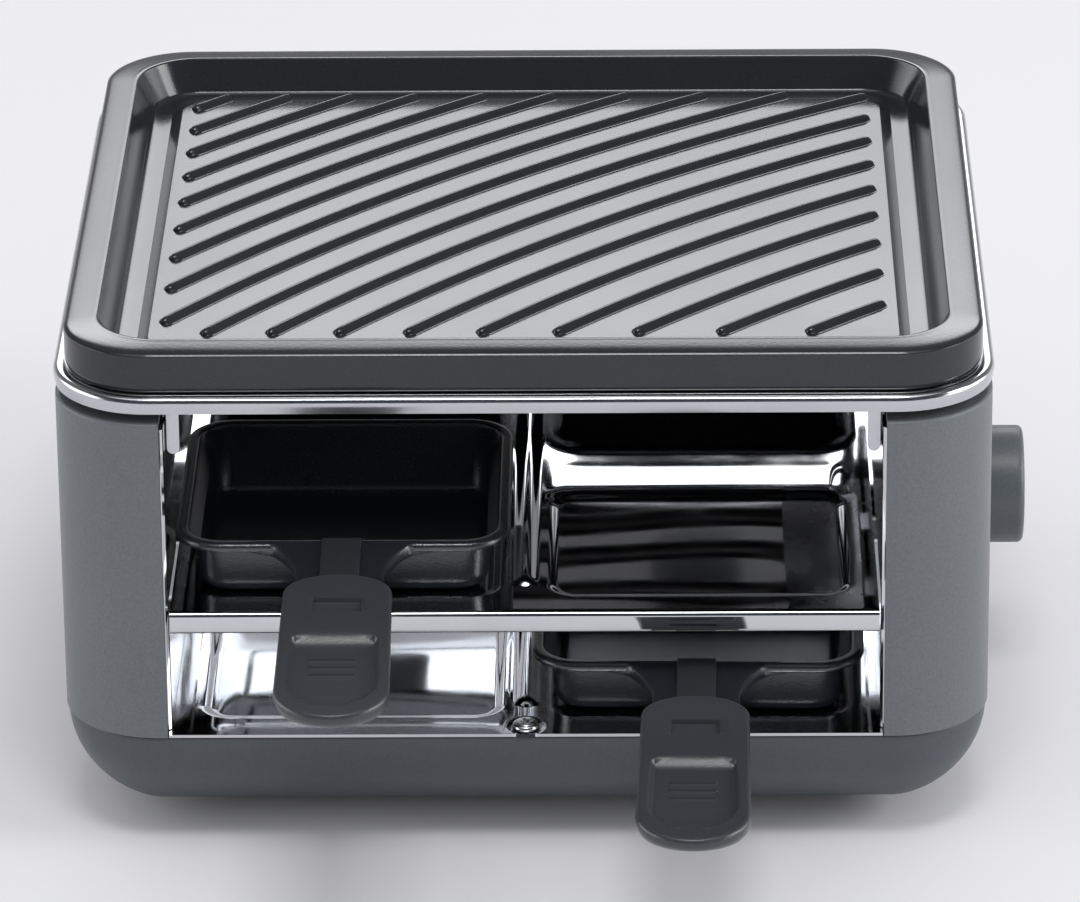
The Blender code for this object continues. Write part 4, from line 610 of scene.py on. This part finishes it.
deep = RIM_TOP - GUTTER_FLOOR
rim_line = [(0.0, 0.0020), (0.0, 0.6 * SIDE_TOP), (0.0, SIDE_TOP - 0.0006)]
rim_line += [(across, RIM_TOP - drop) for across, drop in
             ((0.0002, 0.00125), (0.0008, 0.00080), (0.0016, 0.00056), (0.0030, 0.00038), (0.0050, 0.00021),
              (0.0068, 0.00008), (CREST, 0.0))]
rim_line += [(CREST + 0.6 * CREST_EDGE, RIM_TOP - 0.2 * CREST_EDGE),
             (CREST + CREST_EDGE, RIM_TOP - CREST_EDGE), (0.93 * WALL_FOOT, RIM_TOP - 0.78 * deep),
             (WALL_FOOT, RIM_TOP - 0.94 * deep), (1.1 * WALL_FOOT, GUTTER_FLOOR), (GUTTER_IN, GUTTER_FLOOR),
             (0.86 * GUTTER_IN + 0.14 * FIELD_INSET, 0.90 * GUTTER_FLOOR + 0.10 * FIELD_FLOOR),
             (0.14 * GUTTER_IN + 0.86 * FIELD_INSET, 0.10 * GUTTER_FLOOR + 0.90 * FIELD_FLOOR),
             (FIELD_INSET, FIELD_FLOOR), (FIELD_INSET + 0.001, FIELD_FLOOR)]
rim_line = np.minimum(flowing(rim_line, 5), (1.0, RIM_TOP))
foot_line = [(UNDER_IN, 0.0), (UNDER_IN - UNDER_SLOPE, UNDER_RISE), (UNDER_OUT + UNDER_SLOPE, UNDER_RISE),
             (UNDER_OUT, 0.0), (0.0008, 0.0), (0.0002, 0.0002), (0.0, 0.0008)]
rings = [plate_skirt(SKIRT_WALL, 0.0), plate_skirt(SKIRT_WALL, -SKIRT_DROP), plate_skirt(0.0, -SKIRT_DROP),
         plate_skirt(0.0, 0.0), plate_level(foot_line), plate_level(rim_line)]
shells = [skin(np.concatenate(rings))]
near = math.hypot(RING_X - FIELD_X, RING_Y + FIELD_NEAR)
far = math.hypot(RING_X + FIELD_X, RING_Y - FIELD_FAR)
first = math.ceil((near ** 2 - RING ** 2) / (2.0 * RING * RING_PITCH))
last = math.floor((far ** 2 - RING ** 2) / (2.0 * RING * RING_PITCH))
ridge_line = flowing([(-1.0, -0.95), (-1.0, 0.0), (-0.82, 0.12), (-0.60, 0.44), (-0.40, 0.74), (-0.20, 0.94),
                      (0.0, 1.0)], 3)
ridge_line = np.concatenate([ridge_line, (ridge_line * (-1.0, 1.0))[-2::-1]])
for ring in range(first, last + 1):
    radius = math.sqrt(RING ** 2 + 2.0 * RING * RING_PITCH * ring)
    angle = np.linspace(0.5 * np.pi, np.pi, 4000)
    x, y = RING_X + radius * np.cos(angle), RING_Y + radius * np.sin(angle)
    angle = angle[(np.abs(x) <= FIELD_X) & (y <= FIELD_FAR) & (y >= -FIELD_NEAR)]
    if len(angle) < 2 or radius * (angle[-1] - angle[0]) < RIDGE_SHORTEST:
        continue
    length = radius * (angle[-1] - angle[0])
    tip = RIDGE_TIP * (1.0 - np.cos(QUARTER))
    along = np.linspace(RIDGE_TIP, length - RIDGE_TIP, 3 + int(length / RIDGE_STEP))[1:-1]
    along = np.concatenate([tip, along, (length - tip)[::-1]])
    share = np.clip(np.minimum(along, length - along) / RIDGE_TIP, 0.0, 1.0)
    swell = np.maximum(np.sqrt(1.0 - (1.0 - share) ** 2), 0.02)[:, None]
    turn = (angle[0] + along / radius)[:, None]
    out = radius + RIDGE_HALF * ridge_line[:, 0] * swell
    rise = RIDGE_HEIGHT * ridge_line[:, 1] * np.where(ridge_line[:, 1] < 0.0, 1.0, swell)
    shells.append(skin(np.stack([RING_X + out * np.cos(turn), RING_Y + out * np.sin(turn),
                                 PLATE_Z + FIELD_FLOOR + rise], -1)))
piece("plate_casting", shells, plate_coat, "plate", ["grill_plate"])

# Thermostat: a brown resin body behind the right housing's side, clamped there by the steel nut on
# its threaded bush. The steel shaft turns in the bush.
resin = finish("thermostat_resin", moulded, {"IOR": 1.50}, Tone=(0.25, 0.22, 0.18, 1.0), Shine=0.60,
               Grain=900.0, Depth=0.00005)
dress(resin, "thermostat_body")
dress(plated_steel, "thermostat_nut", "thermostat_shaft")

# Control knob: plain and round with a soft front edge, moulded in grey plastic with a hollow back. Its
# hub is pushed on the thermostat's shaft.
KNOB_Z, KNOB_RADIUS, KNOB_REACH, KNOB_EDGE, KNOB_WALL = 0.0544, 0.0158, 0.0129, 0.0016, 0.0024
HUB_BORE, HUB_RADIUS, HUB_START, BORE_END, KNOB_BACK = 0.0033, 0.0052, 0.0035, 0.0098, 0.0006
knob_grey = finish("knob_grey", moulded, {"IOR": 1.48}, Tone=(0.105, 0.118, 0.128, 1.0), Shine=0.42,
                   Grain=1600.0, Depth=0.00004)
knob_line = [(0.0, BORE_END), (HUB_BORE, BORE_END), (HUB_BORE, HUB_START), (HUB_RADIUS, HUB_START),
             (HUB_RADIUS, KNOB_REACH - KNOB_WALL), (KNOB_RADIUS - KNOB_WALL, KNOB_REACH - KNOB_WALL),
             (KNOB_RADIUS - KNOB_WALL, KNOB_BACK), (KNOB_RADIUS - 0.0002, KNOB_BACK),
             (KNOB_RADIUS, KNOB_BACK + 0.0002), (KNOB_RADIUS, KNOB_REACH - 1.25 * KNOB_EDGE)]
knob_line += corner(KNOB_RADIUS, KNOB_REACH, KNOB_EDGE, KNOB_EDGE)
knob_line += [(0.8 * KNOB_RADIUS, KNOB_REACH), (0.0, KNOB_REACH)]
shell = skin(turned(knob_line, "x", (COLUMN_X, 0.0, KNOB_Z), 96))
piece("knob_cap", [shell], knob_grey, "knob", ["control_knob"])

# Pans: pressed steel under black non-stick coat, with a rolled rim, a far side that slopes inwards
# and a flat tongue whose flared root has rolled edges. Three stand on the shelf and one on the tray.
PAN_WIDTH, PAN_FRONT, PAN_FAR, PAN_CORNER = 0.0860, 0.1030, 0.0225, 0.012
PAN_HEIGHT, PAN_SHEET, PAN_REST = 0.0167, 0.0012, -0.0007
PAN_LAND, PAN_ROLL, PAN_RIM_OUT, PAN_RIM_DROP, PAN_DRAFT = 0.0026, 0.0013, 0.0050, 0.0042, 0.0008
PAN_FAR_SLOPE, PAN_ROUND = 0.0070, 0.0042
TONGUE_ANGLE, TONGUE_START, TONGUE_TUCK = math.radians(6.0), 0.0005, 0.0016
FLARE_HALF, TONGUE_HALF, FLARE, TONGUE_LENGTH, TONGUE_DROP = 0.0185, 0.0112, 0.0170, 0.033, 0.0001
NECK_EXTRA, NECK_RUN, FOLD, FOLD_START, FOLD_RUN = 0.0055, 0.0030, 0.0022, 0.006, 0.012
FOLD_EDGE, FOLD_SHARE, TONGUE_ROUND, TONGUE_ROUND_BELOW = 0.0008, 0.45, 0.0003, 0.0002
PAN_PLACES = {1: (-0.0466, 0.0, SHELF_TOP), 2: (0.0449, math.radians(-1.2), TRAY_TOP),
              3: (-0.0460, math.pi, SHELF_TOP), 4: (0.0460, math.pi, SHELF_TOP)}
pan_black = finish("pan_black", coat, {"IOR": 1.50, "Specular IOR Level": 0.95},
                   Tone=(0.016, 0.019, 0.024, 1.0), Speck=(0.22, 0.23, 0.25, 1.0), Shine=0.22, Grain=2400.0,
                   Depth=0.00007, Specks=0.15)


def placed(points, number):
    """From a pan's own place, its handle towards the front, turned about its middle to where it stands."""
    x, turn, level = PAN_PLACES[number]
    middle = -0.5 * (PAN_FRONT + PAN_FAR)
    across, along = points[..., 0], points[..., 1] - middle
    y = middle if abs(turn) < 0.5 * math.pi else -middle
    return np.stack([x + across * math.cos(turn) - along * math.sin(turn),
                     y + across * math.sin(turn) + along * math.cos(turn), level + points[..., 2]], -1)


def tilted(x, u, w):
    """A point x across, u forward from the rim and w above the tongue's top, on the tongue's slope."""
    x, u, w = np.broadcast_arrays(x, u, w)
    slope, rise = math.cos(TONGUE_ANGLE), math.sin(TONGUE_ANGLE)
    return np.stack([x, -PAN_FRONT + TONGUE_START - u * slope - w * rise,
                     PAN_REST + PAN_HEIGHT - u * rise + w * slope], -1)


def rim_curve(*points):
    """A smooth run of the pan's rim through (inset, drop from the rim's top) pairs, off the far slope."""
    return flowing([(inset, 0.0, PAN_HEIGHT - drop) for inset, drop in points], 4)


def pan_rings():
    """Rings of the pan from rows of inset, share of the far slope and height: outside up, inside down."""
    foot, inner = PAN_RIM_OUT + PAN_DRAFT, PAN_ROUND - PAN_SHEET
    bow = 1.0 - np.stack([np.sin(QUARTER), 0.0 * QUARTER, np.cos(QUARTER)], -1)
    outside = bow * (PAN_ROUND, 1.0, PAN_ROUND) + (foot, 0.0, 0.0)
    under = rim_curve((PAN_RIM_OUT, PAN_RIM_DROP), (0.62 * PAN_RIM_OUT, 0.0030),
                      (0.25 * PAN_RIM_OUT, 0.0026), (0.0003, 0.0021), (0.0, PAN_ROLL))
    roll = bow[-2::-1] * (PAN_ROLL, 0.0, -PAN_ROLL) + (0.0, 0.0, PAN_HEIGHT)
    lip = rim_curve((PAN_LAND, 0.0), (PAN_LAND + 0.0005, 0.0003), (PAN_LAND + 0.0010, 0.0012),
                    (PAN_RIM_OUT + PAN_SHEET, PAN_RIM_DROP))
    inside = bow[::-1] * (inner, 1.0, inner) + (foot + PAN_SHEET, 0.0, PAN_SHEET)
    inset, share, height = np.concatenate([outside, under, roll, lip, inside]).T
    front, far = -PAN_FRONT + inset, -PAN_FAR - inset - share * PAN_FAR_SLOPE
    radius = np.maximum(PAN_CORNER - 0.8 * inset, 0.005)
    return rounded(0.5 * PAN_WIDTH - inset, 0.5 * (far - front), radius, PAN_REST + height,
                   middle_y=0.5 * (far + front), steps=18)


def tongue_rings():
    """Sections across the tongue: level in the middle, rolled down at both edges near the pan."""
    u = np.concatenate([[-TONGUE_TUCK], FLARE * np.linspace(0.0, 1.0, 30) ** 1.5,
                        np.linspace(FLARE + 0.0005, TONGUE_LENGTH, 9)])[:, None]
    half = TONGUE_HALF + (FLARE_HALF - TONGUE_HALF) * (1.0 - np.clip(u / FLARE, 0.0, 1.0)) ** 2.2
    half = half + NECK_EXTRA * np.clip(1.0 - (u + TONGUE_TUCK) / NECK_RUN, 0.0, 1.0) ** 2
    fold = FOLD * (1.0 - eased((u - FOLD_START) / FOLD_RUN))
    edge = half - (FOLD_EDGE + FOLD_SHARE * fold) * (1.0 - np.cos(QUARTER))
    across = np.concatenate([-edge, 0.0 * half, edge[:, ::-1]], 1)
    dip = 1.0 - np.sin(QUARTER)
    drop = np.concatenate([dip, [0.0], dip[::-1]])
    top = -TONGUE_DROP - (fold + TONGUE_ROUND) * drop
    below = top - PAN_SHEET + TONGUE_ROUND_BELOW * drop
    return tilted(np.concatenate([across, 0.97 * across[:, ::-1]], 1), u,
                  np.concatenate([top, below[:, ::-1]], 1))


for number in PAN_PLACES:
    shells = [skin(placed(pan_rings(), number)), skin(placed(tongue_rings(), number))]
    piece(f"pan_shell_{number}", shells, pan_black, f"pan_unit_{number}", [f"pan_{number}"])

# Pan straps: a short flat steel strap on each tongue, coated black like the pan. It is welded on and
# holds the handle, which covers most of it.
STRAP_HALF, STRAP_START, STRAP_LENGTH, STRAP_SHEET, STRAP_EDGE = 0.0050, 0.0014, 0.028, 0.0008, 0.00025
strap_black = finish("strap_black", coat, {"IOR": 1.50}, Tone=(0.026, 0.028, 0.032, 1.0),
                     Speck=(0.20, 0.21, 0.22, 1.0), Shine=0.38, Grain=1500.0, Depth=0.00004, Specks=0.3)
strap_edge = np.array(corner(-STRAP_HALF, STRAP_SHEET, -STRAP_EDGE, STRAP_EDGE, QUARTER[::2]))
strap_x, strap_w = np.concatenate([strap_edge, (strap_edge * (-1.0, 1.0))[::-1],
                                   [(STRAP_HALF, 0.0), (-STRAP_HALF, 0.0)]]).T
strap_u = np.array([-STRAP_START, -STRAP_START + STRAP_EDGE, 0.0, STRAP_LENGTH])[:, None]
squeeze = np.array([0.6, 1.0, 1.0, 1.0])[:, None]
strap = tilted(strap_x, strap_u, GAP - TONGUE_DROP + strap_w * squeeze)
for number in PAN_PLACES:
    piece(f"strap_{number}", [skin(placed(strap, number))], strap_black, f"pan_unit_{number}",
          [f"pan_strap_{number}"])

# Handles: moulded in black plastic over tongue and strap, with a round edge, a shallow slot, a deep
# thumb recess with a ramp at its pan end, and three raised grip lines.
HANDLE_START, HANDLE_END, HANDLE_TIP = 0.020, 0.0886, 0.0085
START_HALF, END_HALF, START_BULGE, END_BULGE = 0.0138, 0.0144, 0.009, 0.0131
HANDLE_TOP, HANDLE_WIDEST, HANDLE_BOTTOM, HANDLE_EDGE, HANDLE_KEEL = 0.0033, 0.0018, 0.0034, 0.0012, 0.0045
SLOT_START, SLOT_END, SLOT_HALF, SLOT_DEPTH = 0.0323, 0.0386, 0.0061, 0.0012
THUMB_START, THUMB_END, THUMB_RAMP, THUMB_MARGIN = 0.0488, 0.0825, 0.0042, 0.0026
THUMB_DEPTH, THUMB_DRAFT, THUMB_BULGES, STEP_HALF = 0.0020, 0.0016, (0.003, 0.0105), 0.00012
GRIP_FIRST, GRIP_PITCH, GRIP_HALF, GRIP_WIDTH, GRIP_HEIGHT = 0.0583, 0.0035, 0.0058, 0.0009, 0.0005
handle_black = finish("handle_black", moulded, {"IOR": 1.50, "Specular IOR Level": 0.55},
                      Tone=(0.038, 0.042, 0.048, 1.0), Shine=0.30, Grain=1700.0, Depth=0.00005)


def oval_inset(x, u, start, end, halves, bulges):
    """Distance in from an outline of straight sides between two half ovals, negative outside it."""
    low, high = start + bulges[0], end - bulges[1]
    x = np.maximum(np.abs(x), 1e-7)
    share = np.clip((u - low) / (high - low), 0.0, 1.0)
    half = halves[0] + (halves[1] - halves[0]) * share
    past = np.where(u < low, (low - u) / bulges[0], np.where(u > high, (u - high) / bulges[1], 0.0))
    beyond = np.where(u < low, low - u, np.where(u > high, u - high, 0.0))
    reach = np.maximum(np.hypot(x / half, past), 1e-6)
    return np.hypot(x, beyond) * (1.0 / reach - 1.0)


def between(value, start, end):
    """One between two places and nothing beyond, with a steep soft step at each."""
    rise, fall = (value - start) / (2.0 * STEP_HALF), (end - value) / (2.0 * STEP_HALF)
    return eased(rise + 0.5) * eased(fall + 0.5)


def handle_grid():
    """The handle as rings between its outline and its middle line, below from the middle outwards and
    above back inwards. Heights come from the distance to the outline, minus the slot and the recess."""
    low, high = HANDLE_START + START_BULGE, HANDLE_END - END_BULGE
    stops = [low, SLOT_START - STEP_HALF, SLOT_START + STEP_HALF, SLOT_END - STEP_HALF,
             SLOT_END + STEP_HALF, THUMB_START]
    counts = [6, 1, 8, 1, 12, 20]
    for line in range(3):
        start = GRIP_FIRST + line * GRIP_PITCH
        stops += [place + step for place in (start, start + GRIP_WIDTH) for step in (-STEP_HALF, STEP_HALF)]
        counts += [2, 3, 2, 5]
    counts[-1] = 12
    straight = steps_between(stops + [high], counts)
    turn = np.linspace(0.0, np.pi, 41)
    side_x = START_HALF + (END_HALF - START_HALF) * (straight - low) / (high - low)
    edge_x = np.concatenate([side_x, END_HALF * np.cos(turn), -side_x[::-1],
                             -START_HALF * np.cos(turn)[1:-1]])
    edge_u = np.concatenate([straight, high + END_BULGE * np.sin(turn), straight[::-1],
                             low - START_BULGE * np.sin(turn)[1:-1]])
    middle_u = np.clip(edge_u, low, high)
    wide = 0.5 * (START_HALF + END_HALF)
    insets = np.concatenate([[0.0, 0.0001, 0.0003, 0.0006, 0.0009, 0.0012, 0.0016, 0.0022],
                             np.linspace(0.0026, 0.0046, 9), [0.0056, 0.0068, wide - SLOT_HALF - STEP_HALF,
                             wide - SLOT_HALF + STEP_HALF, wide - GRIP_HALF + STEP_HALF]])
    above = np.concatenate([1.0 - insets / wide, np.linspace(0.36, 0.0, 9)])[:, None]
    below = np.sin(np.linspace(0.0, 0.5 * np.pi, 15))[:-1, None]
    x_above, u_above = edge_x * above, middle_u + (edge_u - middle_u) * above
    x_below, u_below = edge_x * below, middle_u + (edge_u - middle_u) * below
    halves, bulges = np.array([START_HALF, END_HALF]), (START_BULGE, END_BULGE)
    inset = oval_inset(x_above, u_above, HANDLE_START, HANDLE_END, halves, bulges)
    share = 1.0 - np.clip(inset / HANDLE_EDGE, 0.0, 1.0)
    w_above = HANDLE_WIDEST + (HANDLE_TOP - HANDLE_WIDEST) * np.sqrt(1.0 - share ** 2)
    thumb = oval_inset(x_above, u_above, THUMB_START, THUMB_END, halves - THUMB_MARGIN, THUMB_BULGES)
    thumb = np.minimum(thumb / THUMB_DRAFT, (u_above - THUMB_START) / THUMB_RAMP)
    w_above -= THUMB_DEPTH * eased(thumb)
    w_above -= SLOT_DEPTH * between(u_above, SLOT_START, SLOT_END) * between(x_above, -SLOT_HALF, SLOT_HALF)
    for line in range(3):
        start = GRIP_FIRST + line * GRIP_PITCH
        raised = between(u_above, start, start + GRIP_WIDTH) * between(x_above, -GRIP_HALF, GRIP_HALF)
        w_above += GRIP_HEIGHT * raised
    inset = oval_inset(x_below, u_below, HANDLE_START, HANDLE_END, halves, bulges)
    tip = np.clip((u_below - high) / np.maximum(np.hypot(x_below, u_below - high), 1e-6), 0.0, 1.0)
    share = 1.0 - np.clip(inset / (HANDLE_KEEL + HANDLE_TIP * tip ** 2), 0.0, 1.0)
    w_below = HANDLE_WIDEST - (HANDLE_WIDEST + HANDLE_BOTTOM) * np.sqrt(1.0 - share ** 2)
    return tilted(np.concatenate([x_below, x_above]), np.concatenate([u_below, u_above]),
                  np.concatenate([w_below, w_above]))


for number in PAN_PLACES:
    shell = skin(placed(handle_grid(), number), ends=False)
    piece(f"handle_{number}", [shell], handle_black, f"pan_unit_{number}", [f"pan_handle_{number}"])

# Floor: a wide level sheet of pale matt paper. It fills the whole view and takes the shadow.
FLOOR_HALF = 6.0
paper = bpy.data.materials.new("pale_paper")
paper.use_nodes = True
pulp = paper.node_tree
paper_shader = pulp.nodes["Principled BSDF"]
paper_shader.inputs["Roughness"].default_value = 0.9
paper_shader.inputs["Specular IOR Level"].default_value = 0.1
fibre = noise(pulp, node(pulp, "ShaderNodeTexCoord").outputs["Object"], 3.0, 2.0)
pale = node(pulp, "ShaderNodeMix", {0: fibre, 6: (0.800, 0.797, 0.825, 1.0), 7: (0.812, 0.808, 0.838, 1.0)},
            data_type="RGBA")
pulp.links.new(pale.outputs[2], paper_shader.inputs["Base Color"])
ground = np.array([(-1, -1, 0), (1, -1, 0), (1, 1, 0), (-1, 1, 0)]) * FLOOR_HALF
mesh = bpy.data.meshes.new("floor")
mesh.from_pydata(ground.tolist(), [], [(0, 1, 2, 3)])
mesh.materials.append(paper)
floor = bpy.data.objects.new("floor", mesh)
bpy.context.scene.collection.objects.link(floor)
floor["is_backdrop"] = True

# Light: an even surround, which glossy surfaces see as a bright band behind, weaker ones above and
# beside and a dim rest, and three soft boxes: one overhead in front, one on the right and a faint
# one on the left.
world = bpy.data.worlds.new("studio")
bpy.context.scene.world = world
world.use_nodes = True
sky = world.node_tree
FRONT_GLOSS, REAR_GLOSS = (0.060, 0.067, 0.080, 1.0), (0.20, 0.20, 0.21, 1.0)
BAND_GLOSS, SURROUND, BACKGROUND = (5.50, 5.58, 5.78, 1.0), (0.80, 0.80, 0.81, 1.0), (0.80, 0.80, 0.83, 1.0)
way = node(sky, "ShaderNodeSeparateXYZ", {0: node(sky, "ShaderNodeTexCoord").outputs["Generated"]}).outputs
reach = node(sky, "ShaderNodeMath", {0: way["X"]}, operation="ABSOLUTE").outputs[0]
seen = node(sky, "ShaderNodeLightPath").outputs


def blend(share, first, second, mode="MIX"):
    """Two colours of the world joined by a share."""
    inputs = {0: share, 6: first, 7: second}
    return node(sky, "ShaderNodeMix", inputs, data_type="RGBA", blend_type=mode).outputs[2]


band = product(sky, span(sky, way["Z"], 0.28, 0.43, 0.0, 1.0), span(sky, way["Z"], 0.48, 0.57, 1.0, 0.0))
band = product(sky, band, span(sky, reach, 0.25, 0.40, 1.0, 0.0))
band = product(sky, band, span(sky, way["Y"], 0.10, 0.50, 0.0, 1.0))
rest = blend(span(sky, way["Y"], -0.15, 0.35, 0.0, 1.0), FRONT_GLOSS, REAR_GLOSS)
above = product(sky, span(sky, way["Z"], 0.80, 0.92, 0.0, 1.3), span(sky, way["Y"], -0.15, 0.05, 1.0, 0.0))
beside = product(sky, span(sky, reach, 0.80, 0.93, 0.0, 3.5), span(sky, way["Z"], 0.30, 0.50, 1.0, 0.0))
level = product(sky, span(sky, way["Z"], 0.12, 0.28, 0.28, 0.0), span(sky, way["Y"], 0.10, 0.40, 0.0, 1.0))
for extra in (above, beside, level):
    rest = blend(1.0, rest, extra, "ADD")
gloss = node(sky, "ShaderNodeMath", {0: seen["Is Glossy Ray"], 1: seen["Is Transmission Ray"]},
             operation="MAXIMUM").outputs[0]
seen_light = blend(gloss, SURROUND, blend(band, rest, BAND_GLOSS))
seen_light = blend(seen["Is Camera Ray"], seen_light, BACKGROUND)
sky.links.new(seen_light, sky.nodes["Background"].inputs["Color"])


def soft_box(name, place, target, width, height, power):
    """A rectangular lamp at one point, aimed at another, not seen by the camera."""
    lamp = bpy.data.lights.new(name, "AREA")
    lamp.shape, lamp.size, lamp.size_y, lamp.energy = "RECTANGLE", width, height, power
    made = bpy.data.objects.new(name, lamp)
    facing = (Vector(place) - Vector(target)).to_track_quat("Z", "Y")
    made.matrix_world = Matrix.Translation(place) @ facing.to_matrix().to_4x4()
    made.visible_camera = False
    bpy.context.scene.collection.objects.link(made)


soft_box("top_box", (0.1, -1.2, 2.8), (0.0, 0.0, 0.0), 0.9, 0.6, 20.0)
soft_box("right_box", (2.7, -0.5, 1.5), (0.0, 0.0, 0.05), 1.0, 1.2, 27.0)
soft_box("left_box", (-2.7, -0.2, 1.4), (0.0, 0.0, 0.05), 0.8, 1.2, 1.0)

# Camera: high in front, with a long lens, as the photograph was taken.
YAW, PITCH, ROLL = -0.015056, 0.417424, -0.0098954
lens = bpy.data.cameras.new("camera")
lens.lens, lens.sensor_width, lens.sensor_fit = 240.09, 36.0, "HORIZONTAL"
camera = bpy.data.objects.new("camera", lens)
camera.matrix_world = (Matrix.Translation((0.02314, -1.77271, 0.85074)) @ Matrix.Rotation(-YAW, 4, "Z")
                       @ Matrix.Rotation(0.5 * math.pi - PITCH, 4, "X") @ Matrix.Rotation(ROLL, 4, "Z"))
bpy.context.scene.collection.objects.link(camera)
bpy.context.scene.camera = camera
bpy.context.scene.view_settings.view_transform = "Standard"

low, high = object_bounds()
